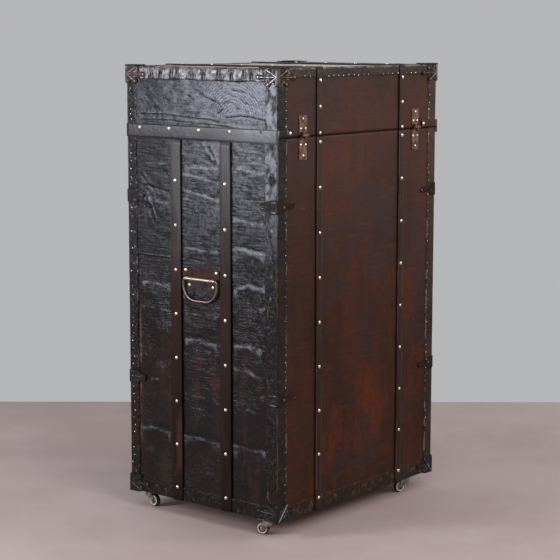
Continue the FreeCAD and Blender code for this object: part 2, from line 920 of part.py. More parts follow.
def caster_fork():
    """The swivelling fork, trailing along +X, at the origin."""
    half = fork_crown_half
    outer = fork_inside + fork_wall
    crown = box(-half, half, -outer, outer, crown_low, crown_top)
    fork = joined([crown, fork_leg(fork_inside), fork_leg(-outer)])
    hole = kingpin_radius + kingpin_clearance
    fork = fork.cut(rod(hole, V(0, 0, crown_low), V(0, 0, 1), fork_crown_thickness))
    axle_hole = rod(axle_radius, V(caster_trail, -outer, axle_z), V(0, 1, 0), outer * 2)
    return fork.cut(axle_hole)


def caster_axle():
    """The riveted axle across the fork."""
    outer = fork_inside + fork_wall
    start = V(caster_trail, -outer, axle_z)
    shaft = rod(axle_radius, start, V(0, 1, 0), outer * 2)
    near = rod(axle_head_radius, start, V(0, -1, 0), axle_head)
    far = rod(axle_head_radius, start + V(0, outer * 2, 0), V(0, 1, 0), axle_head)
    return joined([shaft, near, far])


def ring(outer, inner, width):
    """A ring about the axle, centred in the fork."""
    start = V(caster_trail, -width / 2, axle_z)
    return rod(outer, start, V(0, 1, 0), width).cut(rod(inner, start, V(0, 1, 0), width))


def caster_wheel():
    """The hub: a grooved disc with a boss that runs on the axle."""
    bore = axle_radius + axle_clearance
    disc = joined([ring(hub_radius, bore, hub_width), ring(hub_boss_radius, bore, hub_boss_width)])
    groove = ring(hub_groove_outer, hub_groove_inner, hub_groove_depth)
    for side in (-1, 1):
        sunk = groove.copy()
        sunk.translate(V(0, side * (hub_width - hub_groove_depth) / 2, 0))
        disc = disc.cut(sunk)
    return disc


def caster_tyre():
    """The tyre on the hub, with rounded shoulders."""
    tyre = rod(wheel_radius, V(caster_trail, -tyre_width / 2, axle_z), V(0, 1, 0), tyre_width)
    tyre = tyre.makeFillet(tyre_edge_radius, [e for e in tyre.Edges if len(e.Vertexes) == 1])
    core = rod(hub_radius, V(caster_trail, -tyre_width / 2, axle_z), V(0, 1, 0), tyre_width)
    return tyre.cut(core)


def caster_centre(corner):
    """The swivel centre of one caster."""
    from_side, from_back, _ = caster_places[corner]
    x = half_width - from_side
    y = half_depth - from_back
    return V(x if corner.endswith("right") else -x, y if corner.startswith("back") else -y, 0)


def at_caster(shape, corner, degrees):
    """A caster shape turned to an angle and carried to its corner."""
    copy = turned(shape, degrees, V(0, 0, 0), V(0, 0, 1))
    copy.translate(caster_centre(corner))
    return copy


# ---------------------------------------------------------------- lock and catches
hasp_axis_y = -half_depth - hasp_axis_out
hasp_axis_z = joint_z + hasp_axis_rise
# At rest an arm is folded up against its hinge plate; turned half round it lies on its block.
arm_back_y = -half_depth - hasp_plate_thickness - hasp_seat_gap
arm_front_y = arm_back_y - hasp_thickness
block_face_y = 2 * hasp_axis_y - arm_front_y + hasp_seat_gap
closure_top_z = joint_z - closure_block_drop
staple_z = hasp_axis_z - staple_distance
button_z = staple_z - bolt_button_drop
bolt_front_y = -half_depth + lock_case_wall + bolt_front_gap
bolt_back_y = bolt_front_y + bolt_thickness
lock_inner_y = -half_depth + lock_case_depth - lock_case_wall
slot_half = (staple_thickness + staple_slot_clearance) / 2
arm_low_z = hasp_axis_z + hasp_knuckle_radius + hasp_end_gap


def hasp_knuckle(x0, x1, bore):
    """A hollow knuckle about the arms' axis."""
    start = V(x0, hasp_axis_y, hasp_axis_z)
    outside = rod(hasp_knuckle_radius, start, V(1, 0, 0), x1 - x0)
    return outside.cut(rod(bore, start, V(1, 0, 0), x1 - x0))


def hasp_pin(x, width):
    return rod(hasp_pin_radius, V(x - width / 2, hasp_axis_y, hasp_axis_z), V(1, 0, 0), width)


def hasp_hinge_plate(x, width):
    """The plate on the lid with the two outer knuckles of an arm."""
    inner = hasp_centre_width / 2 + hasp_end_gap
    outer = width / 2
    y0 = -half_depth - hasp_plate_thickness
    top = hasp_axis_z + hasp_plate_height
    pieces = [box(x - outer, x + outer, y0, -half_depth, arm_low_z, top)]
    for x0, x1 in ((x - outer, x - inner), (x + inner, x + outer)):
        pieces.append(box(x0, x1, y0, -half_depth, hasp_axis_z - hasp_pin_radius, arm_low_z))
        pieces.append(hasp_knuckle(x0, x1, hasp_pin_radius))
    return joined(pieces)


def hasp_arm(x, width, length):
    """An arm folded up against the lid, with the middle knuckle at its foot."""
    half = hasp_centre_width / 2
    r = width / 2
    y = arm_back_y
    top = hasp_axis_z + length
    edges = [
        line(V(x - r, y, arm_low_z), V(x + r, y, arm_low_z)),
        line(V(x + r, y, arm_low_z), V(x + r, y, top - r)),
        arc(V(x + r, y, top - r), V(x, y, top), V(x - r, y, top - r)),
        line(V(x - r, y, top - r), V(x - r, y, arm_low_z)),
    ]
    blade = outline_plate(edges, V(0, -hasp_thickness, 0))
    stem = box(x - half, x + half, arm_front_y, arm_back_y, hasp_axis_z, arm_low_z)
    bore = hasp_pin_radius + hasp_pin_clearance
    hole = rod(bore, V(x - half, hasp_axis_y, hasp_axis_z), V(1, 0, 0), hasp_centre_width)
    return joined([blade, stem, hasp_knuckle(x - half, x + half, bore)]).cut(hole)


def lock_hasp():
    """The lock's arm, with the staple that drops into the lock when it is folded down."""
    z = hasp_axis_z + staple_distance
    t = staple_thickness / 2
    h = staple_height / 2
    w = bolt_head_height / 2 + bolt_clearance
    tip_y = -half_depth - hinge_wall_gap - 2 * hinge_radius
    staple = box(-t, t, tip_y, arm_front_y, z - h, z + h)
    window_low = 2 * hasp_axis_y - bolt_back_y - bolt_clearance
    window_high = 2 * hasp_axis_y - bolt_front_y + bolt_clearance
    window = box(-t, t, window_low, window_high, z - w, z + w)
    return joined([hasp_arm(0, hasp_width, hasp_length), staple]).cut(window)


def catch_arm(x):
    """A catch's arm, with a hole that drops over the stud."""
    hole = rod(stud_radius + stud_clearance, V(x, arm_back_y, hasp_axis_z + stud_distance),
               V(0, -1, 0), hasp_thickness)
    return hasp_arm(x, catch_width, catch_length).cut(hole)


def catch_block(x):
    """The catch's block on the case with its stud."""
    half = catch_width / 2
    low = closure_top_z - catch_block_height
    face = box(x - half, x + half, block_face_y, -half_depth, low, closure_top_z)
    stud = rod(stud_radius, V(x, block_face_y, hasp_axis_z - stud_distance), V(0, -1, 0), stud_height)
    return joined([face, stud])


def staple_slot():
    """The slot through the lock's face that lets the staple in."""
    h = staple_height / 2 + staple_slot_clearance
    return box(-slot_half, slot_half, block_face_y, lock_inner_y, staple_z - h, staple_z + h)


def button_slot():
    """The slot that the bolt's button slides along."""
    half_z = bolt_button_stem / 2 + bolt_clearance
    half_x = bolt_travel / 2 + half_z
    y1 = -half_depth + lock_case_wall
    return box(-half_x, half_x, block_face_y, y1, button_z - half_z, button_z + half_z)


def lock_block():
    """The lock's face block on the leather."""
    half = lock_case_width / 2 + lock_block_margin
    low = closure_top_z - lock_block_height
    face = box(-half, half, block_face_y, -half_depth, low, closure_top_z)
    return face.cut(staple_slot()).cut(button_slot())


def lock_case_block():
    """The outside of the lock case, sunk into the front wall."""
    half = lock_case_width / 2
    top = staple_z + staple_height
    return box(-half, half, -half_depth, -half_depth + lock_case_depth, top - lock_case_height, top)


def lock_case():
    """The hollow case behind the block."""
    w = lock_case_wall
    half = lock_case_width / 2 - w
    top = staple_z + staple_height - w
    low = staple_z + staple_height - lock_case_height + w
    hollow = box(-half, half, -half_depth + w, lock_inner_y, low, top)
    return lock_case_block().cut(hollow).cut(staple_slot()).cut(button_slot())


def lock_bolt():
    """The sliding bolt, drawn back to -X, with its button outside the block."""
    y0 = bolt_front_y
    riser_back_y = lock_inner_y - bolt_clearance
    tip = -slot_half - bolt_clearance
    riser_right = tip - bolt_travel
    riser_left = riser_right - bolt_button_stem
    h = bolt_head_height / 2
    head = box(riser_left, tip, y0, bolt_back_y, staple_z - h, staple_z + h)
    riser = box(riser_left, riser_right, y0, riser_back_y, button_z, staple_z)
    stem_half = bolt_button_stem / 2
    x = -bolt_travel / 2
    foot = box(riser_left, x + stem_half, y0, riser_back_y, button_z - stem_half, button_z + stem_half)
    knob_back_y = block_face_y - bolt_clearance
    stem = box(x - stem_half, x + stem_half, knob_back_y, y0, button_z - stem_half, button_z + stem_half)
    knob_x = bolt_button_width / 2
    knob_z = bolt_button_height / 2
    knob = box(x - knob_x, x + knob_x, knob_back_y - bolt_button_rise, knob_back_y,
               button_z - knob_z, button_z + knob_z)
    return joined([head, riser, foot, stem, knob])


# ---------------------------------------------------------------- rail and hangers
def hanging_rail():
    half = inner_x
    return rod(rail_radius, V(-half, 0, rail_z), V(1, 0, 0), half * 2)


def socket_body():
    """The outside of the rail's right-hand socket."""
    start = V(inner_x - rail_socket_depth, 0, rail_z)
    return rod(rail_socket_radius, start, V(1, 0, 0), rail_socket_depth)


def rail_socket():
    """The cup on the right wall that holds the end of the rail."""
    hole = rod(rail_radius, V(inner_x - rail_socket_depth, 0, rail_z), V(1, 0, 0), rail_socket_depth)
    return socket_body().cut(hole)


hook_centre_z = rail_z + rail_radius + hook_seat_gap + hook_wire_radius - hook_radius
hook_bend_z = hook_centre_z - hook_radius
wood_top_z = hook_centre_z - hook_stem
hanger_span = 2 * (inner_y - lining - hanger_end_gap)


def hanger_wood():
    """The bowed wooden shoulders of a hanger at x = 0, with the bar below."""
    t = hanger_thickness / 2
    half = hanger_span / 2
    x = -t
    top = wood_top_z
    low = top - hanger_centre_height
    end_top = top - hanger_fall
    end_low = end_top - hanger_end_height
    lift = hanger_fall / 4
    edges = [
        arc(V(x, -half, end_top), V(x, -half / 2, (top + end_top) / 2 + lift), V(x, 0, top)),
        arc(V(x, 0, top), V(x, half / 2, (top + end_top) / 2 + lift), V(x, half, end_top)),
        line(V(x, half, end_top), V(x, half, end_low)),
        arc(V(x, half, end_low), V(x, 0, low), V(x, -half, end_low)),
        line(V(x, -half, end_low), V(x, -half, end_top)),
    ]
    shoulders = outline_plate(edges, V(hanger_thickness, 0, 0))
    return shoulders.cut(hook_stem_rod())


def hanger_bar_pieces():
    """The trouser bar and the two short posts that carry it."""
    half = hanger_span / 2 - hanger_end_height
    end_low = wood_top_z - hanger_fall - hanger_end_height
    z = end_low - hanger_bar_drop
    pieces = [rod(hanger_bar_radius, V(0, -half, z), V(0, 1, 0), half * 2)]
    for y in (-half, half):
        pieces.append(rod(hanger_bar_radius, V(0, y, z), V(0, 0, 1), hanger_bar_drop + hanger_end_height / 2))
    return pieces


def hanger_frame():
    """The wooden part of a hanger in one piece."""
    return joined([hanger_wood()] + hanger_bar_pieces())


def hook_stem_rod():
    """The straight end of the hook, sunk in the wood."""
    low = wood_top_z - hook_depth_in_wood
    return rod(hook_wire_radius, V(0, 0, low), V(0, 0, 1), hook_bend_z - low)


def hook_point(degrees):
    """A point on the hook's circle, counted from +Y over the top."""
    turn = math.radians(degrees)
    return V(0, hook_radius * math.cos(turn), hook_centre_z + hook_radius * math.sin(turn))


def hanger_hook():
    """The wire hook over the rail: the stem, then most of a circle."""
    start = V(0, 0, wood_top_z - hook_depth_in_wood)
    foot = hook_point(-90)
    edges = [line(start, foot)]
    edges.append(arc(foot, hook_point(-45), hook_point(0)))
    edges.append(arc(hook_point(0), hook_point(90), hook_point(180)))
    edges.append(arc(hook_point(180), hook_point((180 + hook_end_degrees) / 2), hook_point(hook_end_degrees)))
    wire = Part.makeCircle(hook_wire_radius, start, V(0, 0, 1))
    return Part.Wire(edges).makePipeShell([Part.Wire([wire])], True, False, 2)


# ---------------------------------------------------------------- write the sub-parts
os.makedirs("parts", exist_ok=True)

side_board = case_side_board()
save("side_boards", [side_board, mirror_x(side_board)])
back_board = case_back_board()
save("back_board", [back_board])
save("front_board", [mirror_y(back_board).cut(lock_case_block())])
save("bottom_board", [case_bottom_board()])
save("top_lip", top_lip())
save("case_lining", case_lining())
save("side_leather", side_leather(0, joint_z))
back_cover = back_leather(0, joint_z)
save("front_back_leather", [back_cover, mirror_y(back_cover).cut(lock_case_block())])
save("case_edge_binding", case_edge_binding())
save("side_straps", side_straps())
save("case_slats", case_slats())
save("case_dome_nails", case_dome_nails())
save("bottom_corner_caps", bottom_corner_caps())
save("edge_clamps", edge_clamps())

save("lid_boards", lid_boards())
save("lid_lining", lid_lining())
save("lid_side_leather", side_leather(lid_bottom_z, case_height - leather))
lid_back_cover = back_leather(lid_bottom_z, case_height - leather)
save("lid_front_back_leather", [lid_back_cover, mirror_y(lid_back_cover)])
save("lid_top_leather", [lid_top_leather()])
save("lid_edge_binding", lid_edge_binding())
save("lid_side_bands", lid_side_bands())
save("lid_slats", lid_slats())
save("lid_dome_nails", lid_dome_nails())
save("top_corner_caps", top_corner_caps())

upper_leaf = hinge_upper_leaf()
lower_leaf = hinge_lower_leaf()
pin = hinge_pin()
save("hinge_upper_leaves", [upper_leaf, mirror_x(upper_leaf)])
save("hinge_lower_leaves", [lower_leaf, mirror_x(lower_leaf)])
save("hinge_pins", [pin, mirror_x(pin)])

plate_behind = handle_back_plate()
sleeve = handle_sleeve()
loop = bail()
save("handle_back_plates", [plate_behind, mirror_x(plate_behind)])
save("handle_sleeves", [sleeve, mirror_x(sleeve)])
save("bail_right", [loop])
save("bail_left", [mirror_x(loop)])

save("caster_plates", [at_caster(caster_plate(), corner, 0) for corner in caster_places])
for corner, (_, _, degrees) in caster_places.items():
    fork = [at_caster(shape, corner, degrees) for shape in (caster_fork(), caster_axle())]
    save("caster_fork_" + corner, fork)
    save("caster_wheel_" + corner, [at_caster(caster_wheel(), corner, degrees)])
    save("caster_tyre_" + corner, [at_caster(caster_tyre(), corner, degrees)])

closures = ((0, hasp_width), (hinge_x, catch_width), (-hinge_x, catch_width))
hinge_set = [hasp_hinge_plate(x, width) for x, width in closures]
hinge_set += [hasp_pin(x, width) for x, width in closures]
save("closure_hinge_plates", hinge_set)
save("lock_hasp", [lock_hasp()])
save("catch_arm_right", [catch_arm(hinge_x)])
save("catch_arm_left", [catch_arm(-hinge_x)])
save("closure_blocks", [lock_block(), catch_block(hinge_x), catch_block(-hinge_x)])
save("lock_case", [lock_case()])
save("lock_bolt", [lock_bolt()])

save("hanging_rail", [hanging_rail()])
socket = rail_socket()
save("rail_sockets", [socket, mirror_x(socket)])
frame = hanger_frame()
hook = hanger_hook()
for i in range(hanger_count):
    shift = V((i - (hanger_count - 1) / 2) * hanger_pitch, 0, 0)
    for name, shape in (("hanger_wood", frame), ("hanger_hook", hook)):
        placed = shape.copy()
        placed.translate(shift)
        save(name + "_" + str(i + 1), [placed])
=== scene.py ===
"""The looks of the wardrobe trunk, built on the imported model.

Sizes are millimetres until a mesh is made, when MM turns them into metres.
Materials, floor, lights and camera use metres.
Z is up from the floor, +Y is the back with the hinges, +X is the right side.
"""
import math

import bmesh
import bpy
import numpy as np
from mathutils import Matrix, Vector


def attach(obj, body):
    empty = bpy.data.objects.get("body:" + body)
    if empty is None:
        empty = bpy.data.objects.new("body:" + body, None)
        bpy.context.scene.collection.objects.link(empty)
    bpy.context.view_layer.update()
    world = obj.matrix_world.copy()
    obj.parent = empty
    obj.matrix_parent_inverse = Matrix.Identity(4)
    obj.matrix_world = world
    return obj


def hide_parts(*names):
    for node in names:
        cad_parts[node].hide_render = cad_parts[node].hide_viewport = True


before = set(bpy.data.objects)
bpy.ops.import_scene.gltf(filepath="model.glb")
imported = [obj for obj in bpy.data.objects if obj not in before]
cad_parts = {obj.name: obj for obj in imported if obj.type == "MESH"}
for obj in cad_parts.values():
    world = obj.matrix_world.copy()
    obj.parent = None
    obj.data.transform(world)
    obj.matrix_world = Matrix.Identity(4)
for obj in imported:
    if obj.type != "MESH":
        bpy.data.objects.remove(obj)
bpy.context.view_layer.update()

MM = 0.001
HALF_X = 324.0
HALF_Y = 245.0
FOOT = 42.0
JOINT = 970.0
LID_LOW = 971.2
LID_HIGH = 1130.0
TOP = 1132.0
BINDING = 1.5
X, Y, Z = np.eye(3)
SIDES = (1, -1)
CORNERS = [(sx, sy) for sx in SIDES for sy in SIDES]
STRAP_Y = (-80.0, 83.0)
SLAT_X = 169.5
HINGE_X = 231.6
HINGE_AXIS = (253.0, 974.3)
HANDLE_Y = 2.5
CLAMP_Z = (342.6, 807.7)


# ---------------------------------------------------------------- noise
HASH_X, HASH_Y, HASH_SEED, HASH_MIX = 374761393, 668265263, 974634777, 1274126177
WORD, HALF_WORD = 0xFFFFFFFF, 0xFFFF


def lattice(ix, iy, seed):
    h = (ix * HASH_X + iy * HASH_Y + seed * HASH_SEED) & WORD
    h = ((h ^ (h >> 13)) * HASH_MIX) & WORD
    return ((h ^ (h >> 16)) & HALF_WORD) / (HALF_WORD / 2) - 1.0


def smooth(t):
    return t * t * (3 - 2 * t)


def noise(x, y, seed):
    """Smooth noise from -1 to 1 on arrays, one lattice cell per unit."""
    x, y = np.asarray(x, dtype=float), np.asarray(y, dtype=float)
    ix, iy = np.floor(x).astype(np.int64), np.floor(y).astype(np.int64)
    fx, fy = smooth(x - ix), smooth(y - iy)
    low, high = (lattice(ix, iy + k, seed) * (1 - fx) + lattice(ix + 1, iy + k, seed) * fx for k in (0, 1))
    return low * (1 - fy) + high * fy


def layered(x, y, seed):
    """Noise with two finer layers added."""
    return sum(noise(x * 2 ** i, y * 2 ** i, seed + 17 * i) * 0.5 ** i for i in range(3))


def ramp(x, low, high):
    """0 below low, 1 above high, smooth between."""
    return smooth(np.clip((x - low) / (high - low), 0, 1))


# ---------------------------------------------------------------- materials
M = {}
CONSTANTS = {"metal": "Metallic", "specular": "Specular IOR Level", "coat": "Coat Weight",
             "coat_rough": "Coat Roughness", "sheen": "Sheen Weight"}


class Value:
    """A node's output. What is done with it makes the next node."""

    def __init__(self, shade, socket):
        self.shade = shade
        self.socket = socket

    def math(self, kind, other=0.0):
        return self.shade.node("Math", 0, {0: self, 1: other}, operation=kind)

    def __add__(self, other):
        return self.math("ADD", other)

    def __mul__(self, other):
        return self.math("MULTIPLY", other)

    def __abs__(self):
        return self.math("ABSOLUTE")

    def step(self, low, high, out_low=0.0, out_high=1.0):
        """Goes smoothly from out_low at low to out_high at high."""
        return self.shade.node("MapRange", "Result", {
            "Value": self, "From Min": low, "From Max": high, "To Min": out_low, "To Max": out_high},
            interpolation_type="SMOOTHSTEP")

    def near(self, centre, width):
        """1 at the centre and 0 at the width from it."""
        return abs(self.math("SUBTRACT", centre)).step(width, 0.0)


class Shade:
    """A material under construction, with short calls for its nodes and the colour reached so far."""

    def __init__(self, name, key=None):
        M[key or name] = material = bpy.data.materials.new(name)
        material.use_nodes = True
        self.tree = material.node_tree
        self.shader = self.tree.nodes["Principled BSDF"]
        self.coords = self.tree.nodes.new("ShaderNodeTexCoord")
        self.place = Value(self, self.coords.outputs["Object"])
        self.xyz = self.parts("Object")

    def node(self, kind, out, values, **settings):
        """A new node's output. The values go to its inputs."""
        made = self.tree.nodes.new("ShaderNode" + kind)
        for key, value in settings.items():
            setattr(made, key, value)
        for key, value in values.items():
            self.put(made.inputs[key], value)
        return Value(self, made.outputs[out])

    def put(self, socket, value):
        if isinstance(value, Value):
            self.tree.links.new(value.socket, socket)
        else:
            socket.default_value = (*value, 1.0) if socket.type == "RGBA" else value

    def parts(self, what):
        """The three parts of a coordinate."""
        first = self.node("SeparateXYZ", 0, {0: Value(self, self.coords.outputs[what])})
        return [Value(self, out) for out in first.socket.node.outputs]

    def noise(self, scale, detail=4, rough=0.55, z=1, y=1, x=1, turn=0.0, twist=0.0):
        """Noise at the place, finer by x, y and z along the axes and turned about x."""
        place = self.node("Mapping", 0, {"Vector": self.place, "Scale": (x, y, z), "Rotation": (turn, 0, 0)})
        return self.node("TexNoise", "Fac", {
            "Vector": place, "Scale": scale, "Detail": detail, "Roughness": rough, "Distortion": twist})

    def cells(self, scale):
        place = self.node("Mapping", 0, {"Vector": self.place})
        return self.node("TexVoronoi", "Distance", {"Vector": place, "Scale": scale},
                         feature="DISTANCE_TO_EDGE")

    def hollow(self):
        """The hollow written on the mesh."""
        return self.node("Attribute", "Fac", {}, attribute_name="hollow")

    def vector(self, kind, values, out="Vector"):
        return self.node("VectorMath", out, values, operation=kind)

    def rings(self, centre, pitch, twist, size):
        """Wood-like rings round a place."""
        return self.node("TexWave", "Fac", {
            "Vector": self.vector("SUBTRACT", {0: self.place, 1: centre}),
            "Scale": 2 * math.pi / (20 * pitch), "Distortion": twist, "Detail": 3,
            "Detail Scale": size, "Detail Roughness": 0.6},
            wave_type="RINGS", rings_direction="SPHERICAL")

    def mix(self, factor, a, b):
        return self.node("Mix", 2, {0: factor, 6: a, 7: b}, data_type="RGBA")

    def over(self, factor, color):
        """Lays a colour over the one reached so far."""
        self.color = self.mix(factor, self.color, color)

    def bumps(self, *layers):
        """Bump layers, each (height, strength, distance), coarse first."""
        normal = {}
        for height, strength, distance in layers:
            values = {"Height": height, "Strength": strength, "Distance": distance, **normal}
            normal = {"Normal": self.node("Bump", 0, values)}
        self.put(self.shader.inputs["Normal"], normal["Normal"])

    def finish(self, rough, **constants):
        self.put(self.shader.inputs["Base Color"], self.color)
        self.put(self.shader.inputs["Roughness"], rough)
        for key, value in constants.items():
            self.put(self.shader.inputs[CONSTANTS[key]], value)


def joint_painted_shade(s):
    """Painted shade in the seam between case and lid."""
    s.over(s.xyz[2].near(0.9706, 0.0042), (0.002, 0.0015, 0.0013))


def side_seam(s):
    """The level seam beside the front edge of each black side."""
    x, y, z = s.xyz
    s.over(z.near(0.6582, 0.0062) * (y * x.math("SIGN")).step(-0.095, -0.099), (0.001, 0.0007, 0.0006))


def black_leather():
    s = Shade("black_leather")
    y, z = s.xyz[1:]
    hollow = s.hollow()
    patch = s.noise(5, 4, 0.6, y=1.3)
    fine = s.noise(85, 5, 0.7)
    lines = s.noise(44, 3, 0.6, 4.6, 0.5, turn=0.06, twist=0.3)
    rings = s.rings((0.335, 0.105, 1.012), 0.0068, 9, 16)
    low = z.step(0.66, 0.34)
    upper = z.step(0.35, 0.7, 0.45)
    # Where sheen is painted: the back of the lid, and the middle and back of the case's upper part
    lid_painted_sheen = z.step(0.99, 1.03) * (y + patch * 0.08).step(-0.03, 0.17)
    column = abs(y).step(0.085, 0.045) * z.step(0.6, 0.72) * z.step(0.92, 0.82)
    case_painted_sheen = z.step(0.56, 0.86) * y.step(-0.17, 0, 0.04) * column.step(0, 1, 0.54, 0.42)
    s.color = s.mix((patch + z * -0.3).step(0.2, 0.45), (0.006, 0.006, 0.0075), (0.0075, 0.0036, 0.0026))
    s.over(s.noise(24, 4, 0.6, 0.16).step(0.5, 0.66) * low * 0.7, (0.026, 0.0105, 0.0065))
    s.over(s.noise(13, 5, 0.65, 0.5).step(0.55, 0.7) * low * 0.7, (0.042, 0.015, 0.0075))
    # Painted sheen on the case's upper part, along the wrinkle lines
    s.over(case_painted_sheen * (lines + fine * 1.1).step(0.92, 1.18), (0.155, 0.162, 0.188))
    # Painted sheen over the lid
    s.over(z.step(0.97, 1) * fine.step(0.4, 0.62) * 0.55, (0.07, 0.072, 0.084))
    # Painted sheen on the back of the lid, in rings
    s.over(lid_painted_sheen * (rings + fine * 1.3).step(0.7, 1.35), (0.3, 0.318, 0.378))
    s.over(y.near(-0.209, 0.0045) * low * s.noise(22, 4, 0.7, 0.3).step(0.42, 0.54), (0.15, 0.068, 0.036))
    # Painted glints, more of them higher up
    s.over(s.noise(150, 6, 0.75, 2).step(0.62, 0.74) * z.step(0.3, 0.75, 0.08, 0.6), (0.12, 0.118, 0.13))
    # Painted highlights where the leather stands proud and on the lips of the bulges
    proud = hollow.step(-0.08, -0.45) * fine.step(0.38, 0.58, 0.25)
    s.over(proud * z.step(0.2, 0.6, 0.4, 0.8), (0.16, 0.165, 0.187))
    # Painted highlight on the proud parts of the middle column
    s.over(hollow.step(-0.03, -0.24) * column * fine.step(0.35, 0.55, 0.2, 0.7), (0.13, 0.136, 0.157))
    # Painted shade in the hollows
    s.over(hollow.step(0.06, 0.32), (0.002, 0.0016, 0.0015))
    side_seam(s)
    s.bumps((s.noise(9, 4, 0.55, 0.8), 0.9, 0.015), (s.noise(26, 3, 0.5), 0.3, 0.0034),
            (rings * lid_painted_sheen, 0.6, 0.0014),
            (lines * s.noise(7, 3, 0.5).step(0.36, 0.58) * upper, 0.8, 0.0034),
            (s.noise(95, 4, 0.65, 0.3) * upper, 0.55, 0.0015), (fine * upper, 0.65, 0.0018),
            (s.noise(330, 3, 0.6), 0.5, 0.0005))
    s.finish(patch.step(0.35, 0.7, 0.17, 0.32) + fine * 0.14, specular=0.16, coat=0.12, coat_rough=0.14)


def border_leather():
    """The wrinkled edge strips on the black sides, rubbed through along the corner, with painted glints and
    sheen on their upper part.
    """
    s = Shade("border_leather")
    y, z = s.xyz[1:]
    away = abs(y)
    wrinkle = s.noise(42, 5, 0.65, 0.55)
    fine = s.noise(120, 5, 0.7)
    s.color = s.mix(z.step(0.7, 0.4), (0.011, 0.0105, 0.012), (0.011, 0.0062, 0.0048))
    # Painted glints, more of them higher up
    s.over(s.noise(95, 5, 0.75, 0.6).step(0.58, 0.68) * z.step(0.45, 0.8, 0.2, 0.9), (0.42, 0.41, 0.43))
    # Painted sheen on the upper back of the strip
    s.over(wrinkle.step(0.42, 0.58) * z.step(0.6, 1) * y.step(-0.1, 0.1) * 0.85, (0.3, 0.315, 0.36))
    # Rubbed through along the corner: tan wear below, a painted glint above
    s.over(away.near(0.2445, 0.0032) * s.noise(17, 5, 0.75, 0.5).step(0.44, 0.54),
           s.mix(z.step(0.74, 0.82), (0.25, 0.13, 0.06), (0.42, 0.38, 0.36)))
    s.over(away.near(0.2155, 0.0022) * s.noise(26, 4, 0.7, 0.4).step(0.5, 0.6), (0.14, 0.1, 0.08))
    side_seam(s)
    s.bumps((wrinkle, 1, 0.009), (fine, 0.7, 0.0022), (s.noise(300, 3), 0.4, 0.0005))
    s.finish(wrinkle.step(0.3, 0.7, 0.18, 0.34), specular=0.13, coat=0.06, coat_rough=0.12)


def pleat_leather():
    """The gathered strip: pale on its puffs with dust and painted highlight, black with painted shade in its
    folds, rubbed brown along the top.
    """
    s = Shade("pleat_leather")
    hollow = s.hollow()
    fine = s.noise(110, 5, 0.7)
    patch = s.noise(30, 5, 0.65)
    # Pale puffs: dust and painted highlight
    pale = s.mix(fine.step(0.4, 0.6), (0.36, 0.37, 0.41), (0.075, 0.076, 0.086))
    s.color = s.mix(hollow.step(-0.3, -1.3), (0.015, 0.0148, 0.0165), pale)
    brown = patch.step(0.57, 0.66).math("MAXIMUM", s.xyz[2].step(1.122, 1.128) * fine.step(0.4, 0.55))
    s.over(brown * 0.75, (0.075, 0.034, 0.02))
    # Painted shade in the folds
    s.over(hollow.step(-0.25, 0.45), (0.003, 0.0024, 0.0022))
    s.bumps((patch, 0.7, 0.004), (fine, 0.6, 0.0018))
    s.finish(fine.step(0.3, 0.7, 0.22, 0.4), specular=0.34, coat=0.12, coat_rough=0.12)


# where each caster stands, as x and y in metres and the degrees that its fork trails at
CASTERS = {"back_right": (0.303, 0.2, -73.0), "front_right": (0.295, -0.206, 87.0),
           "back_left": (-0.233, 0.223, -20.0), "front_left": (-0.233, -0.215, 40.0)}
CASTER_TRAIL = 0.015
AXLE_HEIGHT = 0.0155


def wheel_material(corner):
    """Rings of worn paint and dirt about the axle, and a dark tread."""
    s = Shade("wheel_rings", "wheel_" + corner)
    x, y, degrees = CASTERS[corner]
    cos, sin = math.cos(math.radians(degrees)), math.sin(math.radians(degrees))
    axle = (-sin, cos, 0)
    centre = (x + CASTER_TRAIL * cos, y + CASTER_TRAIL * sin, AXLE_HEIGHT)
    away = s.vector("SUBTRACT", {0: s.place, 1: centre})
    along = s.vector("DOT_PRODUCT", {0: away, 1: axle}, "Value")
    part = s.vector("SCALE", {0: axle, "Scale": along})
    reach = s.vector("LENGTH", {0: s.vector("SUBTRACT", {0: away, 1: part})}, "Value")
    fine = s.noise(220)
    pale = s.mix(fine.step(0.35, 0.7), (0.62, 0.58, 0.53), (0.36, 0.31, 0.27))
    dark = s.mix(fine.step(0.4, 0.65), (0.02, 0.015, 0.012), (0.045, 0.035, 0.028))
    light = reach.near(0.0112, 0.0025).math("MAXIMUM", reach.near(0.0044, 0.0024))
    s.color = s.mix(light.step(0.1, 0.35), dark, pale)
    s.bumps((fine, 0.4, 0.0003))
    s.finish(fine.step(0.3, 0.7, 0.35, 0.5), specular=0.4)


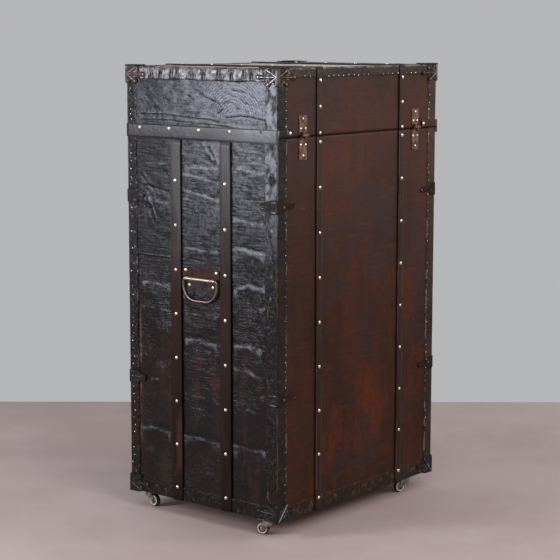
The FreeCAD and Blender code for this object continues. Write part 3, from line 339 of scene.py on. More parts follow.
def brown_leather():
    s = Shade("brown_leather")
    z = s.xyz[2]
    clouds = s.noise(4.2, 6, 0.68, 0.7)
    fine = s.noise(90, 5, 0.6)
    level = s.noise(55, 5, 0.7, 3.2, 0.35, 0.35)
    weave = s.noise(38, 5, 0.7, 0.09)
    rust = (s.noise(7, 6, 0.7, 0.6) + weave * 0.35).step(0.66, 0.82)
    s.color = s.mix(clouds.step(0.36, 0.64), (0.074, 0.0225, 0.0098), (0.034, 0.0165, 0.0115))
    s.over(s.noise(16, 3, 0.5, 0.12).step(0.45, 0.65) * 0.55, (0.028, 0.0115, 0.0075))
    s.over(rust * z.step(0.75, 0.2, 0.28), (0.118, 0.0255, 0.0082))
    s.over(weave.step(0.42, 0.68, 0, 0.35), (0.024, 0.0105, 0.0078))
    s.over(s.noise(6.5, 6, 0.7, x=1.3).step(0.51, 0.6) * z.step(0.1, 0.7, 0.6, 0.65), (0.034, 0.0225, 0.0235))
    s.over(level.step(0.55, 0.7) * 0.35, (0.12, 0.06, 0.042))
    s.over(fine.step(0.56, 0.72) * 0.4, (0.018, 0.008, 0.006))
    # Painted sheen towards the top
    s.over(z.step(0.45, 0.95, 0, 0.3), (0.07, 0.038, 0.034))
    s.over(z.step(0.95, 0.3, 0, 0.3), (0.026, 0.0062, 0.0024))
    joint_painted_shade(s)
    s.bumps((clouds, 0.35, 0.006), (s.noise(26, 4, 0.6), 0.35, 0.003), (level, 0.3, 0.0009),
            (fine, 0.35, 0.001), (s.cells(500), 0.2, 0.0003))
    s.finish(clouds.step(0.3, 0.7, 0.38, 0.5) + fine * 0.1, specular=0.1)


def top_leather():
    s = Shade("top_leather")
    x, y = s.xyz[:2]
    dust_and_sheen = s.noise(14, 5, 0.65)
    fine = s.noise(110, 5, 0.6)
    # Pale all over: dust, and painted reflection of the light that grazes the top
    s.color = s.mix(dust_and_sheen.step(0.3, 0.7), (0.3, 0.268, 0.25), (0.52, 0.48, 0.455))
    s.over((s.noise(40, 5, 0.7, y=0.4) + fine * 0.4).step(0.66, 0.8) * 0.6, (0.17, 0.125, 0.1))
    rim = abs(x).step(0.26, 0.3).math("MAXIMUM", abs(y).step(0.185, 0.22))
    s.over(rim * dust_and_sheen.step(0.35, 0.6, 0.3, 0.8), (0.15, 0.11, 0.09))
    s.bumps((dust_and_sheen, 0.4, 0.004), (fine, 0.4, 0.001))
    s.finish(dust_and_sheen.step(0.3, 0.7, 0.35, 0.6))


def binding_leather():
    """The edge strips: dark and rusty on the edges, earthy at the foot, olive round the lid's top."""
    s = Shade("binding_leather")
    x, y, z = s.xyz
    away = abs(x)
    fine = s.noise(70, 6, 0.65)
    broad = s.noise(12, 4, 0.6)
    cloud = broad.step(0.35, 0.65)
    dark = s.mix(cloud, (0.021, 0.0115, 0.0085), (0.0095, 0.0068, 0.006))
    olive = s.mix(cloud, (0.04, 0.0265, 0.0195), (0.024, 0.018, 0.015))
    rust = s.mix(cloud, (0.07, 0.032, 0.021), (0.034, 0.019, 0.014))
    earth = s.mix(fine.step(0.5, 0.64), (0.019, 0.0095, 0.0048), (0.06, 0.036, 0.015))
    s.color = s.mix(x.step(0.22, -0.12) * z.step(0.7, 1, 0.35), dark, rust)
    s.over(z.step(0.082, 0.076) * away.step(0.3245, 0.323), earth)
    s.over(z.step(1.085, 1.1) * x.step(0.36, 0.3), olive)
    s.over(fine.step(0.57, 0.7) * 0.4, (0.085, 0.052, 0.034))
    s.over(away.near(0.2925, 0.003) * s.noise(60, 4, 0.7, 0.6).step(0.5, 0.6) * 0.7, (0.28, 0.2, 0.16))
    # Rubbed through along the corner: tan wear below, a painted glint above
    corner = away.math("MINIMUM", abs(y) + 0.079).step(0.3238, 0.3246)
    s.over(corner * s.noise(14, 5, 0.75, 0.5).step(0.42, 0.52),
           s.mix(z.step(0.72, 0.8), (0.24, 0.125, 0.055), (0.4, 0.36, 0.34)))
    s.over(z.step(1.1285, 1.1315) * s.noise(30, 5, 0.7).step(0.42, 0.56), (0.2, 0.13, 0.1))
    joint_painted_shade(s)
    s.bumps((broad, 0.4, 0.004), (s.noise(38, 4, 0.6), 0.7, 0.003), (fine, 0.5, 0.0012))
    s.finish(broad.step(0.3, 0.7, 0.34, 0.5), specular=0.17)


def strap_leather():
    s = Shade("strap_leather")
    z = s.xyz[2]
    broad = s.noise(6, 4, 0.6, 0.4)
    grain = s.noise(60, 5, 0.6, 0.15)
    # Darker towards the bottom; grey-blue painted sheen towards the top
    brown = s.mix(z.step(0.2, 0.55), (0.0085, 0.003, 0.0014), (0.024, 0.0105, 0.006))
    s.color = s.mix((z + broad * 0.5).step(0.78, 1.24), brown, (0.066, 0.0605, 0.066))
    s.over(grain.step(0.45, 0.7) * 0.5, (0.013, 0.0068, 0.005))
    s.over(s.noise(9, 4, 0.6, 0.3).step(0.55, 0.68) * z.step(0.9, 0.5) * 0.6, (0.06, 0.025, 0.013))
    # Painted shade on the side faces
    s.color = s.mix(abs(s.parts("Normal")[0]).step(0.35, 0.75), (0.0045, 0.0035, 0.003), s.color)
    s.bumps((broad, 0.25, 0.004), (grain, 0.35, 0.001), (s.noise(220), 0.3, 0.0005))
    s.finish(broad.step(0.3, 0.7, 0.25, 0.36), specular=0.15)


def band_leather():
    """The band over the joint: rubbed smooth, with dark pores and painted sheen toward the back."""
    s = Shade("band_leather")
    broad = s.noise(9, 4, 0.6)
    pores = s.noise(130, 5, 0.7)
    # Painted sheen toward the back
    s.color = s.mix((s.xyz[1] + broad * 0.16).step(0.1, 0.32), (0.022, 0.0205, 0.023), (0.085, 0.085, 0.095))
    s.over(pores.step(0.55, 0.68) * 0.7, (0.009, 0.008, 0.008))
    s.bumps((broad, 0.4, 0.004), (pores, 0.4, 0.0009))
    s.finish(broad.step(0.3, 0.7, 0.24, 0.36), specular=0.26)


def slat_leather():
    s = Shade("slat_leather")
    z = s.xyz[2]
    side = abs(s.parts("Normal")[0])
    broad = s.noise(6, 4, 0.6, 0.4)
    grain = s.noise(60, 5, 0.6, 0.12)
    s.color = s.mix(broad.step(0.38, 0.62), (0.05, 0.0215, 0.0125), (0.032, 0.0175, 0.013))
    s.over(grain.step(0.45, 0.7) * 0.45, (0.02, 0.009, 0.0065))
    s.over(z.step(1.096, 1.104), (0.03, 0.0225, 0.0175))
    s.over(z.step(0.95, 0.3, 0, 0.35), (0.012, 0.004, 0.0022))
    # Painted highlights on the rounded edges
    s.over(side.step(0.12, 0.4) * s.noise(14, 4, 0.7, 0.4).step(0.42, 0.56) * 0.55, (0.2, 0.13, 0.1))
    # Painted shade on the side faces
    s.over(side.step(0.55, 0.85), (0.02, 0.0135, 0.011))
    joint_painted_shade(s)
    s.bumps((broad, 0.25, 0.004), (grain, 0.35, 0.001))
    s.finish(broad.step(0.3, 0.7, 0.38, 0.5), specular=0.14)


def metal(name, base, dirt, rough, scale, metallic, specular=0.5, spread=(0.4, 0.65), bump=0.0006):
    """A worn metal: clean metal with patches of dirt and a pitted face."""
    s = Shade(name)
    spots = s.noise(scale, 5, 0.65)
    fine = s.noise(scale * 5, 4, 0.6)
    s.color = s.mix(spots.step(*spread), base, dirt)
    s.bumps((spots, 0.5, bump), (fine, 0.4, bump * 0.4))
    worn = spots.step(*spread, rough, min(rough + 0.25, 0.95))
    s.finish(worn + fine * 0.08, metal=metallic, specular=specular)


METALS = (
    ("nail_brass", (0.9, 0.77, 0.53), (0.4, 0.25, 0.12), 0.22, 160, 1, 0.5, (0.5, 0.75), 0.0003),
    ("tack", (0.88, 0.84, 0.78), (0.12, 0.085, 0.068), 0.35, 25, 0.9, 0.5, (0.45, 0.59), 0.0002),
    ("cap_iron", (0.12, 0.1, 0.092), (0.035, 0.026, 0.022), 0.34, 60, 0.6),
    ("cap_ridge", (0.33, 0.32, 0.325), (0.075, 0.065, 0.062), 0.26, 70, 0.85),
    ("cap_ridge_black", (0.05, 0.045, 0.043), (0.014, 0.011, 0.01), 0.16, 70, 0.4, 0.3),
    ("cap_plate_black", (0.017, 0.0125, 0.0105), (0.008, 0.006, 0.0052), 0.32, 60, 0.1, 0.16),
    ("cap_bronze", (0.22, 0.155, 0.115), (0.075, 0.05, 0.04), 0.34, 70, 0.8),
    ("clamp_iron", (0.021, 0.016, 0.0145), (0.008, 0.006, 0.0055), 0.36, 60, 0, 0.13),
    ("clamp_back", (0.026, 0.0125, 0.009), (0.012, 0.0065, 0.005), 0.42, 60, 0, 0.1),
    ("clamp_ridge", (0.2, 0.18, 0.17), (0.03, 0.022, 0.019), 0.27, 60, 0.7, 0.5, (0.38, 0.56)),
    ("hinge_bronze", (0.21, 0.12, 0.082), (0.085, 0.043, 0.029), 0.42, 70, 0.7),
    ("handle_rust", (0.036, 0.0125, 0.0055), (0.0105, 0.005, 0.0035), 0.42, 45, 0, 0.14),
    ("handle_dark", (0.03, 0.019, 0.0165), (0.011, 0.0078, 0.0074), 0.34, 50, 0.1, 0.2),
    ("bail_wire", (0.21, 0.15, 0.125), (0.12, 0.075, 0.06), 0.3, 60, 0.85, 0.5, (0.45, 0.7), 0.0003),
    ("handle_rod", (0.32, 0.25, 0.215), (0.17, 0.11, 0.085), 0.28, 60, 0.85, 0.5, (0.5, 0.75), 0.0003),
    ("caster_iron", (0.36, 0.31, 0.265), (0.1, 0.075, 0.06), 0.36, 80, 0.9),
    ("closure_brass", (0.5, 0.37, 0.19), (0.2, 0.13, 0.07), 0.32, 60, 1),
    ("lock_steel", (0.42, 0.4, 0.37), (0.16, 0.13, 0.11), 0.35, 80, 1),
    ("rail_steel", (0.8, 0.8, 0.79), (0.45, 0.42, 0.38), 0.16, 50, 1, 0.5, (0.55, 0.8), 0.0001),
)


def plain_wood(name, light, dark, scale, rough, **stretch):
    """Wood with grain along the axis that is stretched."""
    s = Shade(name)
    grain = s.noise(scale * 8, 6, 0.62, **stretch, twist=0.4)
    s.color = s.mix(grain.step(0.35, 0.65), light, dark)
    s.over(s.noise(scale, 3, 0.5, **stretch).step(0.4, 0.7) * 0.5, dark)
    s.bumps((grain, 0.4, 0.0008), (s.noise(300, 3, 0.5, **stretch), 0.3, 0.0003))
    s.finish(grain.step(0.3, 0.7, rough - 0.08, rough + 0.1))


STRIPES = 2 * math.pi / 0.024
THREADS = 2 * math.pi / 0.0011


def lining_cloth():
    """Striped woven ticking, faded."""
    s = Shade("lining_cloth")
    x, y, z = s.xyz
    along = x + y
    age = s.noise(8, 5, 0.65)
    s.color = s.mix((along * STRIPES).math("SINE").step(0.72, 0.86), (0.47, 0.4, 0.3), (0.2, 0.1, 0.075))
    s.over(age.step(0.45, 0.75) * 0.6, (0.24, 0.18, 0.12))
    s.bumps((age, 0.3, 0.003), ((along * THREADS).math("SINE") * (z * THREADS).math("SINE"), 0.3, 0.0002))
    s.finish(0.85, sheen=0.2)


def floor_material():
    s = Shade("floor")
    s.color = s.mix(s.noise(1.6, 5, 0.6).step(0.35, 0.65), (0.395, 0.3, 0.29), (0.445, 0.36, 0.348))
    s.bumps((s.noise(30), 0.15, 0.002))
    s.finish(0.75, specular=0.3)


def materials():
    for build in (black_leather, brown_leather, top_leather, binding_leather, border_leather, pleat_leather,
                  strap_leather, band_leather, slat_leather, lining_cloth, floor_material):
        build()
    for row in METALS:
        metal(*row)
    plain_wood("board_wood", (0.42, 0.28, 0.16), (0.28, 0.17, 0.09), 9, 0.5, z=0.08)
    plain_wood("hanger_beech", (0.55, 0.34, 0.17), (0.4, 0.22, 0.1), 14, 0.32, y=0.1)
    for corner in CASTERS:
        wheel_material(corner)


# ---------------------------------------------------------------- mesh helpers
def in_scene(name, data):
    made = bpy.data.objects.new(name, data)
    bpy.context.scene.collection.objects.link(made)
    return made


class Heap:
    """The meshes of one piece, with each face's material and each point's hollow.

    A hollow is above 0 where the surface lies low and below 0 where it stands proud; the black and pleated
    leathers paint shade where it is above 0 and highlights where it is below.
    """

    def __init__(self):
        self.points, self.faces, self.groups, self.tones, self.count = [], [], [], [], 0

    def add(self, mesh, origin=(0, 0, 0), axes=(X, Y, Z), group=0, tones=0.0):
        """Adds (points, faces), with the points carried to an origin and three axes."""
        points, faces = mesh
        self.points.append(points @ np.array(axes) + np.array(origin))
        self.tones.append(np.zeros(len(points)) + np.ravel(tones))
        self.faces += [tuple(i + self.count for i in f) for f in faces]
        self.groups += [group] * len(faces)
        self.count += len(points)

    def make(self, name, body, materials, slot, *replaces):
        """The piece, on its body, that stands for the nodes it replaces. Its slot is not used."""
        mesh = bpy.data.meshes.new(name)
        mesh.from_pydata((np.vstack(self.points) * MM).tolist(), [], self.faces)
        mesh.polygons.foreach_set("use_smooth", [True] * len(self.faces))
        mesh.polygons.foreach_set("material_index", self.groups)
        hollow = mesh.attributes.new("hollow", "FLOAT", "POINT")
        hollow.data.foreach_set("value", np.concatenate(self.tones).tolist())
        work = bmesh.new()
        work.from_mesh(mesh)
        bmesh.ops.recalc_face_normals(work, faces=work.faces)
        work.to_mesh(mesh)
        work.free()
        for material in materials:
            mesh.materials.append(M[material])
        made = in_scene(name, mesh)
        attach(made, body)
        if replaces:
            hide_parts(*replaces)


def shifted(mesh, *by):
    return mesh[0] + np.array(by), mesh[1]


def mirrored(half, *middle):
    """An outline from its left half, with what lies between the halves."""
    return [*half, *middle, *((-a, b) for a, b in half[::-1])]


def grid_faces(rows, cols, closed=False):
    """The faces between rows of points; closed joins the ends of each row."""
    return [(i * cols + j, i * cols + (j + 1) % cols, (i + 1) * cols + (j + 1) % cols, (i + 1) * cols + j)
            for i in range(rows - 1) for j in range(cols if closed else cols - 1)]


def slab(u, v, height, base):
    """A height field over u and v with its border folded back to the base, as points (u, v, height)."""
    uu, vv = np.meshgrid(u, v, indexing="ij")
    hh = np.pad(height(uu, vv), 1, constant_values=base)
    uu, vv = (np.pad(a, 1, mode="edge") for a in (uu, vv))
    return np.stack([uu, vv, hh], axis=-1).reshape(-1, 3), grid_faces(*hh.shape)


def tube(rows):
    """Rows of points round a bar, joined and closed at both ends."""
    count = rows.shape[1]
    last = (len(rows) - 1) * count
    ends = [tuple(range(count)), tuple(range(last, last + count))[::-1]]
    return rows.reshape(-1, 3), grid_faces(len(rows), count, closed=True) + ends


def dome_mesh(radius, rise, around=14, rings=4):
    """A dome standing on z = 0."""
    points = []
    for turn in (math.pi / 2 * i / rings for i in range(rings)):
        r = radius * math.cos(turn) ** 0.8
        for angle in (2 * math.pi * k / around for k in range(around)):
            points.append((r * math.cos(angle), r * math.sin(angle), rise * math.sin(turn)))
    last = len(points) - around
    faces = grid_faces(rings, around, closed=True)
    faces += [(last + k, last + (k + 1) % around, len(points)) for k in range(around)]
    return np.array(points + [(0, 0, rise)]), faces + [tuple(range(around))[::-1]]


def facing(normal):
    """Three axes, of which the last is the normal."""
    n = normal / np.linalg.norm(normal)
    a = np.cross(Z if abs(n[2]) < 0.9 else X, n)
    a /= np.linalg.norm(a)
    return a, np.cross(n, a), n


DOME_SINK = 0.3
DOME_UNEVEN = 0.03


def add_domes(heap, places, radius, rise, around, rings, jitter, seed, group=0):
    """Domes at (point, normal), each a little turned and uneven."""
    points, faces = dome_mesh(radius, rise, around, rings)
    draw = np.random.default_rng(seed)
    for place, normal in places:
        axes = facing(normal + draw.normal(0, jitter, 3))
        size = 1 + draw.normal(0, DOME_UNEVEN)
        heap.add((points * size, faces), place - np.array(normal) * DOME_SINK, axes, group)


def smooth_outline(points, rounds=2):
    """A closed outline with its corners cut round."""
    points = np.array(points, dtype=float)
    for _ in range(rounds):
        after = np.roll(points, -1, axis=0)
        points = np.stack([points * 0.75 + after * 0.25, points * 0.25 + after * 0.75], axis=1).reshape(-1, 2)
    return points


def curve_mesh(points, bevel, resolution=2, extrude=None, nurbs=False):
    """A round rod along points, or with extrude a bevelled plate inside them."""
    data = bpy.data.curves.new("work", "CURVE")
    plate = extrude is not None
    data.dimensions, data.fill_mode = ("2D", "BOTH") if plate else ("3D", "FULL")
    data.bevel_depth = bevel
    data.bevel_resolution = resolution
    data.use_fill_caps = not plate
    if plate:
        data.extrude = extrude
        data.offset = -bevel
    spline = data.splines.new("NURBS" if nurbs else "POLY")
    spline.points.add(len(points) - 1)
    for target, point in zip(spline.points, points):
        target.co = (*(*point, 0.0)[:3], 1.0)
    spline.use_cyclic_u = plate
    if nurbs:
        spline.order_u = 3
        spline.use_endpoint_u = True
        spline.resolution_u = 4
    work = in_scene("work", data)
    mesh = bpy.data.meshes.new_from_object(work)
    made = np.array([v.co[:] for v in mesh.vertices]), [tuple(p.vertices) for p in mesh.polygons]
    bpy.data.objects.remove(work)
    bpy.data.curves.remove(data)
    bpy.data.meshes.remove(mesh)
    return made


def outline_mesh(points, thick, bevel, rounds=2):
    """A flat plate with rounded outline and edges, from z = 0 to its thickness."""
    plate = curve_mesh(smooth_outline(points, rounds), bevel, extrude=thick / 2 - bevel)
    return shifted(plate, 0, 0, thick / 2)


def ridge_mesh(points, radius):
    """A flattened rod along a smooth line."""
    made, faces = curve_mesh(points, radius, nurbs=True)
    return made * (1, 1, 0.75), faces


def add_ridges(heap, ridges, level, sink, origin, axes, group):
    """Ridges on a face, each sunk by a part of its radius."""
    for points, radius in ridges:
        heap.add(shifted(ridge_mesh(points, radius), 0, 0, level - sink * radius), origin, axes, group)


def rounded_block(a, b, radius, steps=3):
    """A box between two opposite corners with its edges rounded."""
    low, high = np.sort(np.array([a, b], dtype=float), axis=0)
    work = bmesh.new()
    bmesh.ops.create_cube(work, size=2)
    bmesh.ops.subdivide_edges(work, edges=work.edges, cuts=steps * 2 - 1, use_grid_fill=True)
    points = np.tan(np.array([v.co[:] for v in work.verts]) * math.pi / 4)
    faces = [tuple(v.index for v in f.verts) for f in work.faces]
    work.free()
    inner = np.sign(points) * ((high - low) / 2 - radius) * np.minimum(np.abs(points) * 2, 1)
    reach = points / np.linalg.norm(points, axis=1)[:, None]
    return (low + high) / 2 + inner + reach * radius, faces


BAR_CROWN = 0.3
BAR_SWAY = 0.4


def bar(length, width, thick, along, seed, step=12.0, corner=1.1):
    """A flat bar or strap with rounded edges: points (across, along, out) from across -w/2 to w/2."""
    half = width / 2
    edge = [(-half, 0), (-half, thick - corner), (-half + 0.3 * corner, thick - 0.3 * corner),
            (-half + corner, thick)]
    crown = [(f * half, thick + BAR_CROWN * (1 - f * f)) for f in (-0.5, 0, 0.5)]
    across, out = np.array(mirrored(edge, *crown)).T
    count = int(length / step)
    w = np.arange(count + 1)[:, None] * (length / count)
    shift = BAR_SWAY * noise(w / 90 + along, 0.5, seed)
    grow = 1 + 0.5 * BAR_SWAY / half * noise(w / 60 + along, 3.5, seed + 1)
    rise = 0.18 * noise(w / 45 + along, 7.5, seed + 2) * (out > 0)
    return tube(np.stack([across * grow + shift, w + 0 * out, out + rise], axis=-1))


def near_line(a, b, points, width):
    """How near each place is to a line through points: 1 on it, 0 far off."""
    best = np.full(np.broadcast(a, b).shape, 1e9)
    for (a0, b0), (a1, b1) in zip(points, points[1:]):
        da, db = a1 - a0, b1 - b0
        t = np.clip(((a - a0) * da + (b - b0) * db) / (da * da + db * db), 0, 1)
        best = np.minimum(best, np.hypot(a - a0 - t * da, b - b0 - t * db))
    return np.exp(-(best / width) ** 2)


def spaced(low, high, pitch, extra=()):
    count = max(2, int(round((high - low) / pitch)) + 1)
    return np.unique(np.concatenate([np.linspace(low, high, count), extra]))


# ---------------------------------------------------------------- leather skins
SIDE_BASE = 322.0
BACK_BASE = 243.0
HOLLOW_REACH = 3
LOCK_HALF = 21.7
LOCK_Z = (892.3, 939.7)
# lines on the sides, (y, z), that leather hangs below: (points, rise, depth)
SHELVES = [
    ([(-214, 890), (-98, 899)], 0.45, 30), ([(-212, 804), (-171, 805), (-102, 797)], 0.6, 26),
    ([(-205, 591), (-98, 591)], 0.55, 30), ([(-213, 534), (-102, 527)], 0.3, 30),
    ([(-178, 344), (-142, 348)], 0.5, 12), ([(-214, 215), (-161, 218), (-102, 214)], 1.0, 34),
    ([(-57, 891), (-1, 894), (58, 892)], 0.8, 40), ([(-59, 690), (60, 690)], 0.45, 26),
    ([(-61, 527), (55, 529)], 0.35, 30), ([(-58, 461), (-11, 464), (55, 457)], 1.0, 40),
    ([(-60, 324), (61, 315)], 0.35, 24), ([(-64, 215), (-6, 216), (63, 209)], 1.0, 40),
    ([(106, 894), (153, 892), (200, 883)], 0.7, 26), ([(105, 858), (153, 847), (206, 834)], 0.4, 20),
    ([(102, 774), (153, 768), (203, 767)], 0.7, 34),
    ([(102, 698), (143, 702), (174, 697), (209, 693)], 1.4, 46),
    ([(104, 601), (152, 615), (206, 609), (236, 604)], 1.1, 40),
    ([(184, 560), (209, 568), (240, 566)], 0.8, 20),
    ([(104, 463), (152, 466), (199, 457)], 1.2, 30), ([(104, 411), (158, 403), (199, 391)], 0.7, 22),
    ([(103, 314), (183, 308)], 0.3, 24), ([(100, 215), (151, 213), (212, 208)], 1.0, 40),
]
# creases on the sides of case and lid: (points, width, rise)
SIDE_CREASES = [
    ([(-198, 861), (-178, 842), (-157, 826)], 3.0, -0.8), ([(-193, 868), (-173, 850), (-150, 836)], 3.4, 0.3),
    ([(-191, 817), (-172, 787), (-157, 752)], 3.0, -0.7),
    ([(-182, 819), (-164, 789), (-150, 757)], 3.4, 0.35),
    ([(-168, 790), (-158, 760), (-154, 745)], 2.6, -0.6),
    ([(-205, 838), (-160, 834), (-115, 826)], 2.4, -0.6),
    ([(-205, 916), (-98, 912)], 2.4, -0.6), ([(9, 950), (22, 929), (42, 910)], 3.0, 0.9),
    ([(35, 944), (51, 918), (58, 899)], 3.0, 0.8), ([(-57, 871), (15, 860), (57, 853)], 3.5, 0.5),
    ([(-58, 832), (15, 819), (57, 807)], 3.5, 0.5),
]
LID_CREASES = [
    ([(-202, 1018), (-116, 1019), (-33, 1014), (32, 1011), (58, 1005)], 3.2, 0.5),
    ([(-202, 1003), (-117, 1006), (-33, 1002), (49, 998), (112, 993)], 3.2, 0.45),
    ([(84, 1018), (128, 1024), (166, 1021), (209, 1015)], 4.0, 0.5),
    ([(46, 1067), (62, 1048), (71, 1037), (58, 1027)], 2.6, 0.8),
    ([(-13, 1082), (17, 1066), (49, 1055), (71, 1049), (90, 1056)], 3.2, 0.35),
    ([(103, 1085), (144, 1079), (175, 1066), (197, 1050)], 3.4, 0.3),
    ([(91, 1075), (128, 1064), (159, 1049), (178, 1031)], 3.0, 0.3),
    ([(78, 1063), (109, 1050), (134, 1034), (147, 1020)], 3.0, 0.3),
    ([(-39, 1092), (-42, 1070), (-23, 1060)], 3.4, 0.45),
    ([(-167, 1074), (-167, 1057), (-147, 1042)], 4.0, 0.3),
]


def wavelets(a, z, seed, pitch=6.6, tilt=0.0):
    """Fine wrinkles that run nearly level, in patches."""
    level = z + tilt * a + 4.5 * noise(a / 55, z / 45, seed) + 1.4 * noise(a / 15, z / 11, seed + 1)
    wave = np.sin(level * 2 * math.pi / pitch + 1.8 * noise(a / 40, z / 25, seed + 2))
    patch = ramp(noise(a / 60, z / 50, seed + 3), -0.6, 0.4)
    return wave * patch * (0.6 + 0.4 * noise(a / 13, z / 5, seed + 4))


def under(y, z, points, outer, inner):
    """How far each place lies below a line, and a fade toward the line's ends."""
    ys, zs = zip(*points)
    below = np.interp(y, ys, zs) + 2.5 * noise(y / 22, 0.5, int(zs[0])) - z
    return below, ramp(y, ys[0] - outer, ys[0] + inner) * ramp(-y, -ys[-1] - outer, -ys[-1] + inner)


def shelf(y, z, points, rise, depth):
    """A bulge that hangs below a line: steep at its upper edge and fading downward."""
    below, ends = under(y, z, points, 8, 10)
    return 1.15 * rise * ramp(below, -7.0, 6.0) * np.exp(-np.maximum(below - 4, 0) / depth) * ends


def shelf_lip_highlights(y, z, seed):
    """Painted highlights on the upper edges of the bulges, and painted shade just above them, as a mask."""
    total = 0
    broken = ramp(noise(y / 26, z / 3.5, seed) + 0.7 * noise(y / 7, z / 2.5, seed + 1), -0.9, 0.9)
    for points, rise, depth in SHELVES:
        below, ends = under(y, z, points, 4, 14)
        fade = np.exp(-np.maximum(below - 2, 0) / (0.28 * depth)) * ramp(below, -3.5, 2.5)
        above = np.exp(-np.maximum(-below - 3, 0) / 14) * ramp(-below, 2, 7)
        total = total + (0.48 * rise ** 0.5 * fade * broken - 0.2 * rise * above) * ends
    return total


def side_height(y, z, seed):
    """Height of the case's side leather, as x."""
    h = 323.4 + 0.45 * layered(y / 75, z / 60, seed) + 0.2 * layered(y / 22, z / 15, seed + 3)
    middle = ramp(y, -75, -60) * ramp(-y, -150, -60) * ramp(z, 600, 680) * ramp(-z, -900, -830)
    right = ramp(y, 98, 112) * ramp(z, 690, 740) * ramp(-z, -880, -830)
    h = h + 0.04 * wavelets(y, z, seed + 5) + 0.3 * middle * wavelets(y, z, seed + 6, 8.2, 0.05)
    h = h + 0.2 * right * wavelets(y, z, seed + 7, 7.6, -0.06)
    for points, rise, depth in SHELVES:
        h = h + shelf(y, z, points, rise, depth)
    for points, width, rise in SIDE_CREASES:
        h = h + rise * near_line(y, z, points, width)
    seam = ramp(658.5 - z, 0, 1.6) * ramp(-y, 95, 97)
    h = h - 0.7 * seam - 0.9 * near_line(y, z, [(-245, 659), (-98, 657)], 2.4)
    for strap in STRAP_Y:
        h = h - 0.12 * np.exp(-((np.abs(y - strap) - 19) / 5) ** 2)
    handle = ramp(70 - np.abs(y - HANDLE_Y), 0, 8) * ramp(z, 556, 564) * ramp(652 - z, 0, 8)
    h = h * (1 - handle) + (323.6 + 0.1 * noise(y / 20, z / 20, seed)) * handle
    return np.clip(h, 322.3, 325.2)


def lid_side_height(y, z, seed):
    h = 323.5 + 0.5 * layered(y / 60, z / 40, seed) + 0.2 * layered(y / 18, z / 13, seed + 3)
    right = ramp(y, 20, 90) * ramp(z, 1020, 1045)
    h = h + 0.16 * right * wavelets(y, z, seed + 5, 7.5, 0.25)
    h = h + 0.06 * (1 - right) * wavelets(y, z, seed + 9, 7.0)
    for points, width, rise in LID_CREASES:
        h = h + rise * near_line(y, z, points, width) - 1.3 * rise * near_line(y, z + width, points, 1.9)
    return np.clip(h, 322.3, 325.3)


def back_height(x, z, seed=61):
    h = 244.55 + 0.3 * layered(x / 130, z / 160, seed) + 0.1 * layered(x / 30, z / 24, seed + 2)
    return np.clip(h, 243.4, 245.4)


def hollows(height):
    """How far each place of a height field lies below its surroundings."""
    rows, cols = height.shape
    wide = np.pad(height, HOLLOW_REACH, mode="edge")
    span = range(2 * HOLLOW_REACH + 1)
    return sum(wide[i:i + rows, j:j + cols] for i in span for j in span) / len(span) ** 2 - height


def add_side(heap, rise, sign, height, proud=lambda y, z: 0.0):
    """A black side with its hollows, less the places where highlights are painted."""
    across = spaced(-BACK_BASE, BACK_BASE, 4.4)
    y, z = np.meshgrid(across, rise, indexing="ij")
    tones = hollows(height(sign * y, z)) - proud(sign * y, z)
    heap.add(slab(across, rise, lambda y, z: height(sign * y, z), SIDE_BASE), axes=(Y, Z, sign * X),
             tones=np.pad(tones, 1, mode="edge"))


def leather_skins():
    spans = (-HALF_X, HALF_X), (FOOT, JOINT), (LID_LOW, LID_HIGH)
    wide, rise, lid_rise = (spaced(*span, 7.0) for span in spans)
    case, lid = Heap(), Heap()
    for sign, seed in ((1, 11), (-1, 211)):
        add_side(case, spaced(FOOT, JOINT, 2.2), sign, lambda y, z: side_height(y, z, seed),
                 lambda y, z: shelf_lip_highlights(y, z, seed))
        add_side(lid, spaced(LID_LOW, LID_HIGH, 1.75), sign, lambda y, z: lid_side_height(y, z, seed + 30))
    case.make("side_leather_skins", "case", ["black_leather"], "black_leather", "side_leather")
    lid.make("lid_side_leather_skins", "lid", ["black_leather"], "black_leather", "lid_side_leather")
    case, lid, top = Heap(), Heap(), Heap()
    case.add(slab(wide, rise, back_height, BACK_BASE), axes=(X, Z, Y))
    beside, above = spaced(-HALF_X, HALF_X, 7.0, (-LOCK_HALF, LOCK_HALF)), spaced(FOOT, JOINT, 7.0, LOCK_Z)
    points, faces = slab(beside, above, lambda x, z: back_height(x, z, 81), BACK_BASE)
    middles = [points[list(f)].mean(axis=0) for f in faces]
    open_faces = [f for f, (x, z, _) in zip(faces, middles)
                  if abs(x) > LOCK_HALF or not LOCK_Z[0] < z < LOCK_Z[1]]
    case.add((points, open_faces), axes=(X, Z, -Y))
    case.make("front_back_leather_skins", "case", ["brown_leather"], "brown_leather", "front_back_leather")
    for sign, seed in ((1, 91), (-1, 95)):
        lid.add(slab(wide, lid_rise, lambda x, z: back_height(x, z, seed), BACK_BASE), axes=(X, Z, sign * Y))
    lid.make("lid_front_back_leather_skins", "lid", ["brown_leather"], "brown_leather",
             "lid_front_back_leather")
    top.add(slab(wide, spaced(-HALF_Y, HALF_Y, 7.0), lambda x, y: 1131.5 + 0.35 * layered(x / 70, y / 60, 99),
                 LID_HIGH))
    top.make("lid_top_leather_skin", "lid", ["top_leather"], "top_leather", "lid_top_leather")


